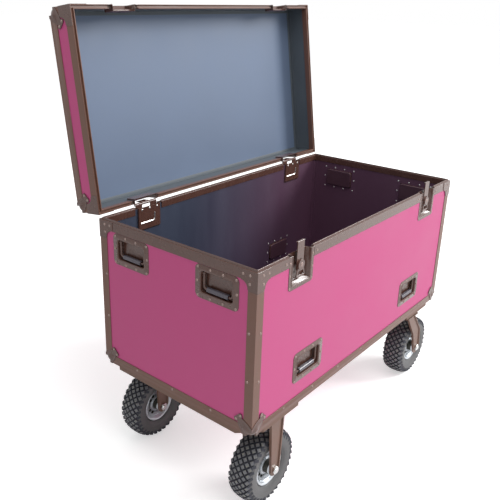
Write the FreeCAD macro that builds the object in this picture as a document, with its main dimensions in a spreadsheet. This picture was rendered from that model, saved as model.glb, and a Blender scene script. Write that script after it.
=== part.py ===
"""Tack trunk on four pneumatic castors, with its lid standing open on the hinge stops.

The trunk is a flight-case build: laminated plywood panels held in double-angle extrusions, a tongue and
groove rim, pressed corner caps, recessed butterfly latches, recessed lid-stay hinges and recessed handles.
Two fixed castors stand at the left end and two swivel castors at the right end.

X runs along the length, the front faces -Y and the floor is Z = 0.
"""
import FreeCAD, Part
import math
import os

import Sketcher
from FreeCAD import Placement, Rotation, Vector

doc = FreeCAD.newDocument("TackTrunk")
sheet = doc.addObject("Spreadsheet::Sheet", "Sizes")


class Size:
    """A length of the sheet, or one worked out from such lengths, with the text that the document binds."""

    def __init__(self, value, text):
        self.value = float(value)
        self.text = text

    def __float__(self):
        return self.value

    def __add__(self, other):
        return Size(self.value + float(other), "(%s + %s)" % (self.text, as_text(other)))

    def __radd__(self, other):
        return Size(float(other) + self.value, "(%s + %s)" % (as_text(other), self.text))

    def __sub__(self, other):
        return Size(self.value - float(other), "(%s - %s)" % (self.text, as_text(other)))

    def __rsub__(self, other):
        return Size(float(other) - self.value, "(%s - %s)" % (as_text(other), self.text))

    def __mul__(self, other):
        return Size(self.value * float(other), "(%s * %s)" % (self.text, as_text(other)))

    def __rmul__(self, other):
        return Size(float(other) * self.value, "(%s * %s)" % (as_text(other), self.text))

    def __truediv__(self, other):
        return Size(self.value / float(other), "(%s / %s)" % (self.text, as_text(other)))

    def __neg__(self):
        return Size(-self.value, "(0 - %s)" % self.text)


def as_text(number):
    """The text of a size or of a plain number in an expression."""
    return number.text if isinstance(number, Size) else repr(float(number))


sheet_row = [0]


def size(alias, value, note):
    """Write one driving dimension into the sheet and hand it back."""
    sheet_row[0] += 1
    row = sheet_row[0]
    sheet.set("A%d" % row, note)
    sheet.set("B%d" % row, str(value))
    sheet.setAlias("B%d" % row, alias)
    return Size(value, "Sizes." + alias)


# Box of the trunk
trunk_length = size("trunk_length", 1200, "outside length of the trunk")
trunk_width = size("trunk_width", 610, "outside width, front to back")
body_height = size("body_height", 495, "underside of the trunk to the parting line")
lid_height = size("lid_height", 104, "parting line to the top of the lid")
castor_height = size("castor_height", 307, "floor to the top of the castor plates")
board_thick = size("board_thick", 15, "thickness of the castor boards")
panel_thick = size("panel_thick", 9, "laminated plywood panel")
opening_angle = size("opening_angle", 98, "lid angle at its stop, in degrees")

# Extrusions
leg_thick = size("leg_thick", 1.6, "wall of the extrusions")
flange_wide = size("flange_wide", 30, "outer leg of the extrusions")
inner_leg = size("inner_leg", 22, "inner leg of the extrusions, from the outer face")
seat_gap = size("seat_gap", 0.1, "gap between a panel and its channel, each side")
tongue_inset = size("tongue_inset", 4.5, "outer face to the tongue of the rim")
tongue_wide = size("tongue_wide", 3.5, "width of the tongue")
tongue_high = size("tongue_high", 5, "tongue above the parting line")
tongue_slope = size("tongue_slope", 1.4, "slope of the outer side of the tongue")
lip_thick = size("lip_thick", 1.8, "outer lip of the groove in the lid rim")
groove_gap = size("groove_gap", 1.2, "gap between the tongue and the groove")
parting_gap = size("parting_gap", 0.4, "gap between the body rim and the closed lid rim")

# Recessed handles
dish_wall = size("dish_wall", 1.2, "sheet of the pressed dishes")
dish_sunk = size("dish_sunk", 0.4, "face of the dishes below the face of the extrusions")
handle_wide = size("handle_wide", 154, "handle dish width")
handle_high = size("handle_high", 100, "handle dish height")
handle_corner = size("handle_corner", 16, "handle dish corner radius")
handle_cup_wide = size("handle_cup_wide", 113, "handle cup width")
handle_cup_high = size("handle_cup_high", 63, "handle cup height")
handle_cup_deep = size("handle_cup_deep", 17, "handle cup depth")
cup_corner = size("cup_corner", 8, "corner radius of the cups")
cup_gap = size("cup_gap", 0.5, "gap between a cup and its cut-out in the panel")
rod_radius = size("rod_radius", 3.5, "radius of the handle bail")
pin_gap = size("pin_gap", 0.06, "radial running gap of the pins")
bail_drop = size("bail_drop", 44, "pivot of the bail to the grip")
bail_under_top = size("bail_under_top", 9, "top of the cup to the pivot of the bail")
bail_side_gap = size("bail_side_gap", 2.5, "gap between the bail and the side of the cup")
bail_bend = size("bail_bend", 9, "bend radius of the bail")
grip_radius = size("grip_radius", 7.5, "radius of the rubber grip")
grip_end = size("grip_end", 4, "grip end short of the bend of the bail")
sleeve_gap = size("sleeve_gap", 0.15, "radial gap of a sleeve on its rod")
end_handle_in = size("end_handle_in", 136, "front or back of the trunk to the middle of an end handle")
end_handle_down = size("end_handle_down", 81, "parting line to the middle of an end handle")
side_handle_in = size("side_handle_in", 265, "end of the trunk to the middle of a side handle")
side_handle_up = size("side_handle_up", 128, "underside of the trunk to the middle of a side handle")

# Butterfly latches
latch_in = size("latch_in", 198, "end of the trunk to the middle of a latch")
latch_wide = size("latch_wide", 118, "latch dish width")
latch_high = size("latch_high", 102, "latch dish height, down from the parting line")
latch_cup_wide = size("latch_cup_wide", 86, "latch cup width")
latch_cup_high = size("latch_cup_high", 80, "latch cup height, down from the parting line")
latch_cup_deep = size("latch_cup_deep", 18, "latch cup depth")
latch_slope = size("latch_slope", 8, "slope of the foot of the latch cup, at its mouth")
latch_corner = size("latch_corner", 12, "lower corners of the latch, keeper and hinge dishes")
keeper_high = size("keeper_high", 52, "keeper dish height, up from the parting line")
keeper_cup_high = size("keeper_cup_high", 38, "keeper cup height")
hook_wide = size("hook_wide", 33, "width of the hook plate")
hook_thick = size("hook_thick", 2.5, "thickness of the hook plate")
hook_up = size("hook_up", 31, "hook plate above the parting line when free")
hook_down = size("hook_down", 52, "hook plate below the parting line when free")
hook_inset = size("hook_inset", 6, "outer face to the hook plate when free")
hook_nose = size("hook_nose", 4, "reach of the nose of the hook")
nose_thick = size("nose_thick", 2.7, "height of the nose of the hook")
hook_travel_down = size("hook_travel_down", 12, "pull of the hook, downwards")
hook_travel_in = size("hook_travel_in", 4, "pull of the hook, inwards")
strike_gap = size("strike_gap", 0.4, "gap between the hook and its strike")
strike_thick = size("strike_thick", 2.5, "thickness of the strike in the keeper")
key_down = size("key_down", 38, "parting line to the middle of the key")
key_radius = size("key_radius", 15, "hub of the key")
key_thick = size("key_thick", 5, "thickness of the hub of the key")
wing_long = size("wing_long", 36, "middle of the key to the foot of its folded wing")
wing_foot = size("wing_foot", 22, "half width of the wing at its foot")
wing_root = size("wing_root", 12, "half width of the wing at the hub")
wing_frame = size("wing_frame", 6, "width of the frame of the wing")
wing_corner = size("wing_corner", 6, "corner radius of the foot of the wing")
wing_thick = size("wing_thick", 2.5, "thickness of the wing")
spindle_radius = size("spindle_radius", 4, "spindle of the key")
spindle_gap = size("spindle_gap", 0.5, "gap between the spindle and the slot of the hook plate")

# Lid-stay hinges
hinge_in = size("hinge_in", 193, "end of the trunk to the middle of a hinge")
hinge_wide = size("hinge_wide", 116, "hinge dish width")
hinge_high = size("hinge_high", 94, "hinge dish height, down from the parting line")
hinge_leaf_high = size("hinge_leaf_high", 52, "hinge dish height on the lid")
hinge_cup_wide = size("hinge_cup_wide", 92, "hinge cup width")
hinge_cup_high = size("hinge_cup_high", 74, "hinge cup height on the body")
hinge_cup_leaf = size("hinge_cup_leaf", 36, "hinge cup height on the lid")
hinge_cup_deep = size("hinge_cup_deep", 15, "hinge cup depth")
hinge_slope = size("hinge_slope", 5, "slope of the foot of the hinge cup, at its mouth")
pin_back = size("pin_back", 5, "back face of the trunk to the hinge pin")
pin_above = size("pin_above", 5.5, "parting line to the hinge pin")
pin_radius = size("pin_radius", 2.5, "radius of the hinge pin")
knuckle_radius = size("knuckle_radius", 4.6, "outer radius of the hinge knuckles")
knuckle_half = size("knuckle_half", 17, "half length of the middle knuckle")
knuckle_end = size("knuckle_end", 46, "middle of the hinge to the end of the outer knuckles")
knuckle_gap = size("knuckle_gap", 0.5, "gap between two knuckles")
strap_thick = size("strap_thick", 2.2, "thickness of the knuckle straps")
strap_high = size("strap_high", 24, "length of the knuckle straps")

# Corner caps
cap_thick = size("cap_thick", 1.5, "sheet of the corner caps")
cap_edge = size("cap_edge", 30, "reach of a corner cap along an edge of the trunk")
cap_lobe = size("cap_lobe", 48, "corner of the trunk to the lobes of a cap, along and up")
lobe_out = size("lobe_out", 7, "half the distance between the two lobes of an ear, along and up")
lobe_radius = size("lobe_radius", 7, "radius of a lobe of a cap")
cap_waist = size("cap_waist", 13, "sink of the curved edge between the lobes and the edge of the trunk")
cap_trim = size("cap_trim", 1, "gap between the lower ear of a cap and the castor board")
ball_radius = size("ball_radius", 24, "radius of the ball of a corner cap")
ball_out = size("ball_out", 4, "ball beyond the faces of the trunk")
ball_wall = size("ball_wall", 1.8, "wall of the ball where it closes the corner")
ball_gap = size("ball_gap", 0.3, "gap between the ball and the trimmed ends of the extrusions")
brace_wide = size("brace_wide", 31, "width of the arms of a rim brace")
brace_round = size("brace_round", 21, "hollow inner corner of a rim brace")
brace_cut = size("brace_cut", 6, "cut-off end corners of a rim brace")

# Castors
board_length = size("board_length", 231, "castor board along the trunk")
board_cut = size("board_cut", 58, "cut-off corner of a castor board")
board_inset = size("board_inset", 3, "end of the trunk to the castor board")
plate_along = size("plate_along", 135, "castor plate along the trunk")
plate_across = size("plate_across", 105, "castor plate across the trunk")
plate_thick = size("plate_thick", 4, "castor plate thickness")
plate_corner = size("plate_corner", 10, "castor plate corner radius")
plate_in = size("plate_in", 143, "end of the trunk to the middle of a castor plate")
bolt_along = size("bolt_along", 105, "bolt holes of a castor plate along the trunk")
bolt_across = size("bolt_across", 80, "bolt holes of a castor plate across the trunk")
bolt_hole = size("bolt_hole", 5.5, "radius of a bolt hole in a castor plate")
wheel_in = size("wheel_in", 66, "front or back of the trunk to the middle of a wheel")
trail = size("trail", 65, "kingpin to the axle of a swivel castor")
wheel_radius = size("wheel_radius", 120, "outer radius of a tyre")
tyre_wide = size("tyre_wide", 82, "width of a tyre")
bead_radius = size("bead_radius", 53, "radius of the bead seat of a rim")
rim_wide = size("rim_wide", 62, "width of a rim")
rim_flange = size("rim_flange", 61, "radius of a rim flange")
hub_radius = size("hub_radius", 20, "radius of a wheel hub")
hub_wide = size("hub_wide", 88, "length of a wheel hub")
axle_radius = size("axle_radius", 8, "radius of an axle bolt")
axle_half = size("axle_half", 61, "middle of a wheel to the end of its axle bolt")
axle_head = size("axle_head", 7, "height of the head and of the nut of an axle bolt")
axle_across = size("axle_across", 24, "hexagon of the axle bolts, across its flats")
fork_gap = size("fork_gap", 46, "middle of the wheel to the inside of a fork leg")
fork_thick = size("fork_thick", 5, "thickness of a fork leg")
fork_top = size("fork_top", 64, "width of a fork leg at its crown")
fork_foot = size("fork_foot", 21, "radius of the foot of a fork leg")
fork_rib = size("fork_rib", 4, "height of the turned-out edges of a fork leg")
fork_rib_wide = size("fork_rib_wide", 4.5, "width of the turned-out edges of a fork leg")
swivel_near = size("swivel_near", 44, "kingpin to the edge of a swivel leg at the crown, away from the axle")
swivel_far = size("swivel_far", 14, "kingpin to the edge of a swivel leg at the crown, towards the axle")
swivel_foot = size("swivel_foot", 25, "radius of the foot of a swivel leg")
bend_high = size("bend_high", 80, "axle to the bend of a swivel leg")
bend_near = size("bend_near", 50, "axle back to the edge of a swivel leg at its bend")
bend_far = size("bend_far", 15, "axle forward to the edge of a swivel leg at its bend")
rim_disc = size("rim_disc", 4, "half the thickness of the dished centre of a rim")
rim_hole = size("rim_hole", 8, "radius of the round holes of a rim")
wall_foot = size("wall_foot", 5, "rim flange to the foot of the bulging wall of a tyre")
wall_side = size("wall_side", 25, "rim flange to the widest part of a tyre")
shoulder_in = size("shoulder_in", 6, "shoulder of a tyre, in from its widest part")
shoulder_drop = size("shoulder_drop", 8, "crown of a tyre down to its shoulder")
crown_edge = size("crown_edge", 22, "middle of a tyre to the edge of its crown")
groove_out = size("groove_out", 6, "middle of a tyre to a groove of its crown")
groove_wide = size("groove_wide", 2.5, "width of a groove of the crown")
groove_deep = size("groove_deep", 4.5, "depth of a groove of the crown")
race_radius = size("race_radius", 40, "radius of the swivel race")
race_high = size("race_high", 20, "height of the swivel race under its plate")
race_gap = size("race_gap", 0.5, "running gap of the swivel race")
kingpin_radius = size("kingpin_radius", 8, "radius of the kingpin")
crown_thick = size("crown_thick", 6, "thickness of the crown of a fork")

underside = castor_height + board_thick
rim_level = underside + body_height
channel = leg_thick + panel_thick + seat_gap * 2
profile_deep = channel + leg_thick
end_handle_out = trunk_width / 2 - end_handle_in
side_handle_out = trunk_length / 2 - side_handle_in
latch_out = trunk_length / 2 - latch_in
hinge_out = trunk_length / 2 - hinge_in


# Placing
def closed_lid_to_open():
    """The turn that stands the closed lid open on its stop."""
    pin = Vector(0, float(trunk_width / 2 + pin_back), float(rim_level + pin_above))
    return Placement(Vector(), Rotation(Vector(1, 0, 0), -float(opening_angle)), pin)


def row_shift():
    """The move that puts the origin under the middle of the whole open trunk."""
    turn = math.radians(float(opening_angle))
    ball_in = float(ball_radius - ball_out)
    left = float(trunk_length) / 2 + float(ball_out)
    right = float(trunk_length) / 2 - float(plate_in) + float(trail + wheel_radius)
    front = float(trunk_width) / 2 + float(ball_out)
    to_front = float(trunk_width + pin_back)
    to_top = float(lid_height - pin_above)
    ball = (to_front - ball_in) * -math.cos(turn) + (to_top - ball_in) * math.sin(turn) + float(ball_radius)
    ear = (to_front + float(cap_thick)) * -math.cos(turn) + (to_top + float(cap_thick)) * math.sin(turn)
    back = float(trunk_width) / 2 + float(pin_back) + max(ball, ear)
    return Placement(Vector((left - max(left, right)) / 2, (front - back) / 2, 0), Rotation())


WALL_TURN = {"front": 0, "right": 90, "back": 180, "left": -90}


def on_wall(wall, along=0, up=0, out=0):
    """Where a piece drawn flat in XY, facing +Z, sits on a wall, seen square on from outside."""
    depth = trunk_width if wall in ("front", "back") else trunk_length
    turn = Rotation(Vector(0, 0, 1), WALL_TURN[wall])
    spot = turn.multVec(Vector(float(along), -float(depth) / 2 - float(out), float(up)))
    return Placement(spot, turn * Rotation(Vector(1, 0, 0), 90))


def settle(item, place, lid=False):
    """Give a piece its final place in the open trunk."""
    moves = closed_lid_to_open() * place if lid else place
    item.Placement = row_shift() * moves
    return item


def node(label, *items):
    """Name one sub-part: a single object, or a group of separate solids."""
    if len(items) == 1:
        items[0].Label = label
        nodes.append(items[0])
        return items[0]
    group = doc.addObject("Part::Compound", "Group")
    group.Links = list(items)
    group.Label = label
    nodes.append(group)
    return group


nodes = []


# Sketches and features
def new_body(name):
    """An empty body."""
    return doc.addObject("PartDesign::Body", name)


def plane(body, role):
    """One of the origin planes of a body."""
    return [item for item in body.Origin.OriginFeatures if item.Role == role][0]


def new_sketch(body, role, offset=0):
    """A sketch on an origin plane of its body, moved along the normal."""
    sketch = body.newObject("Sketcher::SketchObject", "Sketch")
    sketch.AttachmentSupport = [(plane(body, role), "")]
    sketch.MapMode = "FlatFace"
    if isinstance(offset, Size):
        sketch.setExpression("AttachmentOffset.Base.z", offset.text)
    return sketch


def fix(sketch, kind, geometry, point, number):
    """Hold one point of a sketch at a distance from the origin along X or Y."""
    if isinstance(number, Size):
        spot = sketch.addConstraint(Sketcher.Constraint(kind, -1, 1, geometry, point, number.value))
        sketch.setExpression("Constraints[%d]" % spot, number.text)
    else:
        sketch.addConstraint(Sketcher.Constraint(kind, -1, 1, geometry, point, float(number)))


def outline(sketch, points):
    """A closed outline of straight lines through points given in sizes."""
    first = sketch.GeometryCount
    spots = [Vector(float(across), float(up), 0) for across, up in points]
    count = len(spots)
    for index in range(count):
        sketch.addGeometry(Part.LineSegment(spots[index], spots[(index + 1) % count]))
    for index in range(count):
        following = first + (index + 1) % count
        sketch.addConstraint(Sketcher.Constraint("Coincident", first + index, 2, following, 1))
    for index, (across, up) in enumerate(points):
        fix(sketch, "DistanceX", first + index, 1, across)
        fix(sketch, "DistanceY", first + index, 1, up)


def rectangle(sketch, low_x, high_x, low_y, high_y):
    """A rectangle between two sizes each way."""
    outline(sketch, [(low_x, low_y), (high_x, low_y), (high_x, high_y), (low_x, high_y)])


def circle(sketch, across, up, radius):
    """A circle with its centre and its radius held by sizes."""
    spot = Vector(float(across), float(up), 0)
    index = sketch.addGeometry(Part.Circle(spot, Vector(0, 0, 1), float(radius)))
    fix(sketch, "DistanceX", index, 3, across)
    fix(sketch, "DistanceY", index, 3, up)
    held = sketch.addConstraint(Sketcher.Constraint("Radius", index, float(radius)))
    sketch.setExpression("Constraints[%d]" % held, radius.text)


def pad(body, sketch, length, backwards=False, middle=False):
    """Raise a sketch into the body."""
    feature = body.newObject("PartDesign::Pad", "Pad")
    feature.Profile = sketch
    feature.setExpression("Length", length.text)
    feature.Reversed = backwards
    feature.Midplane = middle
    return feature


def pocket(body, sketch, length=None, backwards=False):
    """Cut a sketch into the body, to a depth or right through both ways."""
    feature = body.newObject("PartDesign::Pocket", "Pocket")
    feature.Profile = sketch
    feature.Reversed = backwards
    if length is None:
        feature.Midplane = True
        feature.Type = "ThroughAll"
    else:
        feature.setExpression("Length", length.text)
    return feature


def fillet(body, base, radius, wanted):
    """Round the edges of a feature for which wanted holds."""
    doc.recompute()
    names = ["Edge%d" % (index + 1) for index, edge in enumerate(base.Shape.Edges) if wanted(edge)]
    feature = body.newObject("PartDesign::Fillet", "Fillet")
    feature.Base = (base, names)
    feature.setExpression("Radius", radius.text)
    return feature


def upright(edge):
    """Whether an edge is straight and stands along Z."""
    if edge.Curve.TypeId != "Part::GeomLine":
        return False
    return abs(edge.Curve.Direction.z) > 0.99


# Panels
def panel(name, half_wide, low, high, holes):
    """A laminated panel, drawn with its outer face up, with rectangular cut-outs for the dishes."""
    body = new_body(name)
    sketch = new_sketch(body, "XY_Plane", -leg_thick - seat_gap)
    rectangle(sketch, -half_wide, half_wide, low, high)
    for across, bottom, top, hole_half in holes:
        rectangle(sketch, across - hole_half, across + hole_half, bottom, top)
    pad(body, sketch, panel_thick, backwards=True)
    return body


def cup_hole(across, middle, cup_wide, cup_high):
    """The cut-out that lets a closed cup through a panel."""
    half_high = cup_high / 2 + dish_wall + cup_gap
    return (across, middle - half_high, middle + half_high, cup_wide / 2 + dish_wall + cup_gap)


def handle_hole(across, middle):
    """The cut-out behind a handle dish."""
    return cup_hole(across, middle, handle_cup_wide, handle_cup_high)


def notched_panel(name, half_wide, low, high, holes, notches, notch_from_top):
    """A panel whose rim edge is notched for cups that reach the parting line."""
    body = new_body(name)
    sketch = new_sketch(body, "XY_Plane", -leg_thick - seat_gap)
    edge = high if notch_from_top else low
    far = low if notch_from_top else high
    points = [(-half_wide, far), (-half_wide, edge)]
    for across, level, half in notches:
        points += [(across - half, edge), (across - half, level)]
        points += [(across + half, level), (across + half, edge)]
    points += [(half_wide, edge), (half_wide, far)]
    outline(sketch, points)
    for across, bottom, top, hole_half in holes:
        rectangle(sketch, across - hole_half, across + hole_half, bottom, top)
    pad(body, sketch, panel_thick, backwards=True)
    return body


long_half = trunk_length / 2 - profile_deep - seat_gap
short_half = trunk_width / 2 - profile_deep - seat_gap
panel_foot = profile_deep + seat_gap
panel_head = body_height - leg_thick * 2 - seat_gap
lid_foot = tongue_high + leg_thick * 2 + seat_gap
lid_head = lid_height - profile_deep - seat_gap
latch_half = latch_cup_wide / 2 + dish_wall + cup_gap
latch_level = body_height - latch_cup_high - latch_slope - dish_wall - cup_gap
hinge_half = hinge_cup_wide / 2 + dish_wall + cup_gap
hinge_level = body_height - hinge_cup_high - hinge_slope - dish_wall - cup_gap
keeper_level = keeper_cup_high + latch_slope / 2 + dish_wall + cup_gap
leaf_level = hinge_cup_leaf + hinge_slope + dish_wall + cup_gap

side_holes = [handle_hole(sign * side_handle_out, side_handle_up) for sign in (-1, 1)]
end_holes = [handle_hole(sign * end_handle_out, body_height - end_handle_down) for sign in (-1, 1)]
latch_notches = [(sign * latch_out, latch_level, latch_half) for sign in (-1, 1)]
hinge_notches = [(sign * hinge_out, hinge_level, hinge_half) for sign in (-1, 1)]
keeper_notches = [(sign * latch_out, keeper_level, latch_half) for sign in (-1, 1)]
leaf_notches = [(sign * hinge_out, leaf_level, hinge_half) for sign in (-1, 1)]

front = notched_panel("FrontPanel", long_half, panel_foot, panel_head, side_holes, latch_notches, True)
node("front_panel", settle(front, on_wall("front", up=underside)))
back = notched_panel("BackPanel", long_half, panel_foot, panel_head, side_holes, hinge_notches, True)
node("back_panel", settle(back, on_wall("back", up=underside)))
for side in ("left", "right"):
    end = panel("EndPanel", short_half, panel_foot, panel_head, end_holes)
    node(side + "_end_panel", settle(end, on_wall(side, up=underside)))


def floor_sheet(name, level_out):
    """A panel that lies flat: the base, or the top of the lid."""
    body = new_body(name)
    sketch = new_sketch(body, "XY_Plane", level_out)
    rectangle(sketch, -long_half, long_half, -short_half, short_half)
    pad(body, sketch, panel_thick)
    return body


base = floor_sheet("BasePanel", leg_thick + seat_gap)
node("base_panel", settle(base, Placement(Vector(0, 0, float(underside)), Rotation())))
top = floor_sheet("LidTop", lid_height - leg_thick - seat_gap - panel_thick)
node("lid_top_panel", settle(top, Placement(Vector(0, 0, float(rim_level)), Rotation()), lid=True))

lid_front = notched_panel("LidFront", long_half, lid_foot, lid_head, [], keeper_notches, False)
node("lid_front_panel", settle(lid_front, on_wall("front", up=rim_level), lid=True))
lid_back = notched_panel("LidBack", long_half, lid_foot, lid_head, [], leaf_notches, False)
node("lid_back_panel", settle(lid_back, on_wall("back", up=rim_level), lid=True))
lid_ends = []
for side in ("left", "right"):
    end = panel("LidEnd", short_half, lid_foot, lid_head, [])
    lid_ends.append(settle(end, on_wall(side, up=rim_level), lid=True))
node("lid_end_panels", *lid_ends)


# Extrusions
def double_angle():
    """Section of the double angle, as inset from each outer face: two channels at a right angle."""
    wide = flange_wide
    return [
        (0, 0), (wide, 0), (wide, leg_thick), (profile_deep, leg_thick), (profile_deep, channel),
        (inner_leg, channel), (inner_leg, profile_deep), (profile_deep, profile_deep),
        (profile_deep, inner_leg), (channel, inner_leg), (channel, profile_deep),
        (leg_thick, profile_deep), (leg_thick, wide), (0, wide),
    ]


def base_section():
    """Section of a bottom edge: a channel for the wall panel and a ledge that the base panel lies on."""
    wide = flange_wide
    return [
        (0, 0), (wide, 0), (wide, leg_thick), (profile_deep, leg_thick), (profile_deep, channel),
        (inner_leg, channel), (inner_leg, profile_deep), (leg_thick, profile_deep), (leg_thick, wide),
        (0, wide),
    ]


def tongue_section():
    """Section of the body rim as height below the parting line and inset: a channel with a tongue on top."""
    web = leg_thick * 2
    tongue_end = tongue_inset + tongue_wide
    return [
        (-flange_wide, 0), (-parting_gap / 2, 0), (-parting_gap / 2, tongue_inset),
        (tongue_high, tongue_inset + tongue_slope), (tongue_high, tongue_end), (-parting_gap / 2, tongue_end),
        (-parting_gap / 2, profile_deep),
        (-inner_leg, profile_deep), (-inner_leg, channel), (-web, channel), (-web, leg_thick),
        (-flange_wide, leg_thick),
    ]


def groove_section():
    """Section of the lid rim as height above the parting line and inset: a channel over a groove."""
    low = parting_gap / 2
    ceiling = tongue_high + leg_thick
    web = ceiling + leg_thick
    inner_lip = tongue_inset + tongue_wide + groove_gap
    return [
        (low, 0), (flange_wide, 0), (flange_wide, leg_thick), (web, leg_thick), (web, channel),
        (inner_leg, channel), (inner_leg, profile_deep), (low, profile_deep), (low, inner_lip),
        (ceiling, inner_lip), (ceiling, lip_thick), (low, lip_thick),
    ]


def rail(name, section, length, mitred=True):
    """A length of extrusion along X on a wall: section as (up, inset), ends mitred into the corners."""
    body = new_body(name)
    sketch = new_sketch(body, "YZ_Plane")
    outline(sketch, [(up, -inset if isinstance(inset, Size) else 0) for up, inset in section])
    pad(body, sketch, length, middle=True)
    if mitred:
        reach = flange_wide + leg_thick
        cutter = new_sketch(body, "XZ_Plane")
        half = length / 2
        outline(cutter, [(half, 0), (half, -reach), (half - reach, -reach)])
        outline(cutter, [(-half, 0), (-half, -reach), (reach - half, -reach)])
        pocket(body, cutter)
    return body


def gaps_in(name, body, spans, low, high):
    """The rail with the stretches taken out where a dish crosses it."""
    tools = []
    for middle, wide in spans:
        block = doc.addObject("Part::Box", "Gap")
        block.setExpression("Length", wide.text)
        block.setExpression("Width", (high - low).text)
        block.setExpression("Height", (flange_wide * 2).text)
        block.setExpression("Placement.Base.x", (middle - wide / 2).text)
        block.setExpression("Placement.Base.y", low.text)
        block.setExpression("Placement.Base.z", (-flange_wide).text)
        tools.append(block)
    joined = doc.addObject("Part::MultiFuse", "Gaps")
    joined.Shapes = tools
    cut = doc.addObject("Part::Cut", name)
    cut.Base = body
    cut.Tool = joined
    return cut


def corner_bites(half, down):
    """What is trimmed off both ends of an edge extrusion so that a ball cap can round the corner."""
    centre = float(ball_radius - ball_out)
    kept = float(ball_radius - ball_wall - ball_gap)
    bites = []
    for sign in (-1, 1):
        low_x = half - centre if sign > 0 else -half
        low_y = -centre if down else 0
        block = Part.makeBox(centre, centre, centre, Vector(low_x, low_y, -centre))
        middle = Vector(sign * (half - centre), -centre if down else centre, -centre)
        bites.append(block.cut(Part.makeSphere(kept, middle)))
    return Part.makeCompound(bites)


def trimmed_rail(name, body, length, down=False):
    """An edge extrusion with its ends trimmed for the ball caps."""
    tool = doc.addObject("Part::Feature", "Bites")
    tool.Shape = corner_bites(float(length) / 2, down)
    cut = doc.addObject("Part::Cut", name)
    cut.Base = body
    cut.Tool = tool
    return cut


wall_length = {"front": trunk_length, "back": trunk_length, "left": trunk_width, "right": trunk_width}

base_rails = []
for wall in WALL_TURN:
    piece = trimmed_rail("BaseEdge", rail("BaseRail", base_section(), wall_length[wall]), wall_length[wall])
    base_rails.append(settle(piece, on_wall(wall, up=underside)))


def corner_post(name, low, high):
    """A double angle that stands in a corner, with its outer corner on the Z axis of the body."""
    body = new_body(name)
    sketch = new_sketch(body, "XY_Plane", low)
    outline(sketch, double_angle())
    pad(body, sketch, high - low)
    return body


CORNERS = [(-1, -1, 0), (1, -1, 90), (1, 1, 180), (-1, 1, 270)]


def at_corner(side_x, side_y, turn, up):
    """Where a piece drawn in the corner at the origin stands in one corner of the trunk."""
    spot = Vector(side_x * float(trunk_length) / 2, side_y * float(trunk_width) / 2, float(up))
    return Placement(spot, Rotation(Vector(0, 0, 1), turn))


posts = []
lid_posts = []
for side_x, side_y, turn in CORNERS:
    post = corner_post("Post", flange_wide, body_height - flange_wide)
    posts.append(settle(post, at_corner(side_x, side_y, turn, underside)))
    post = corner_post("LidPost", flange_wide, lid_height - flange_wide)
    lid_posts.append(settle(post, at_corner(side_x, side_y, turn, rim_level), lid=True))
node("body_edge_angles", *(base_rails + posts))

rims = []
lid_rims = []
lid_rails = []
latch_spans = [(sign * latch_out, latch_wide + cup_gap * 2) for sign in (-1, 1)]
hinge_spans = [(sign * hinge_out, hinge_wide + cup_gap * 2) for sign in (-1, 1)]
for wall in WALL_TURN:
    low_rim = rail("Rim", tongue_section(), wall_length[wall])
    high_rim = rail("LidRim", groove_section(), wall_length[wall])
    if wall in ("front", "back"):
        spans = latch_spans if wall == "front" else hinge_spans
        low_rim = gaps_in("RimCut", low_rim, spans, -flange_wide * 2, flange_wide)
        high_rim = gaps_in("LidRimCut", high_rim, spans, -flange_wide, flange_wide * 2)
    rims.append(settle(low_rim, on_wall(wall, up=rim_level)))
    lid_rims.append(settle(high_rim, on_wall(wall, up=rim_level), lid=True))
    edge = rail("LidRail", [(-up if isinstance(up, Size) else 0, inset) for up, inset in double_angle()],
                wall_length[wall])
    edge = trimmed_rail("LidEdge", edge, wall_length[wall], down=True)
    lid_rails.append(settle(edge, on_wall(wall, up=rim_level + lid_height), lid=True))
node("rim_tongue_rails", *rims)
node("lid_rim_groove_rails", *lid_rims)
node("lid_edge_angles", *(lid_rails + lid_posts))


# Recessed dishes
def dish(name, wide, low, high, cup_wide, cup_low, cup_high, cup_deep, corner):
    """A pressed dish: a flange with a cup pressed into it, drawn facing +Z in the plane of the wall."""
    body = new_body(name)
    flange = new_sketch(body, "XY_Plane", -dish_sunk - dish_wall)
    rectangle(flange, -wide / 2, wide / 2, low, high)
    last = pad(body, flange, dish_wall)
    if corner is not None:
        last = fillet(body, last, corner, upright)
    shell = new_sketch(body, "XY_Plane", -dish_sunk - cup_deep - dish_wall)
    outside = cup_wide / 2 + dish_wall
    shell_low = cup_low - dish_wall if cup_low is not low else low
    shell_high = cup_high + dish_wall if cup_high is not high else high
    rectangle(shell, -outside, outside, shell_low, shell_high)
    pad(body, shell, cup_deep + dish_wall / 2)
    hollow = new_sketch(body, "XY_Plane", -dish_sunk - cup_deep)
    over = cup_low - dish_wall * 2 if cup_low is low else cup_low
    above = cup_high + dish_wall * 2 if cup_high is high else cup_high
    rectangle(hollow, -cup_wide / 2, cup_wide / 2, over, above)
    return body, pocket(body, hollow, cup_deep + dish_wall, backwards=True)


half_cup = handle_cup_high / 2
pivot_up = half_cup - bail_under_top
grip_depth = dish_sunk + handle_cup_deep / 2


def handle_dish():
    """A handle dish with the pivot holes of its bail."""
    body, cup = dish("HandleDish", handle_wide, -handle_high / 2, handle_high / 2,
                     handle_cup_wide, -half_cup, half_cup, handle_cup_deep, handle_corner)
    drill = new_sketch(body, "YZ_Plane")
    circle(drill, pivot_up, -grip_depth, rod_radius + pin_gap)
    pocket(body, drill)
    return body


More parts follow.
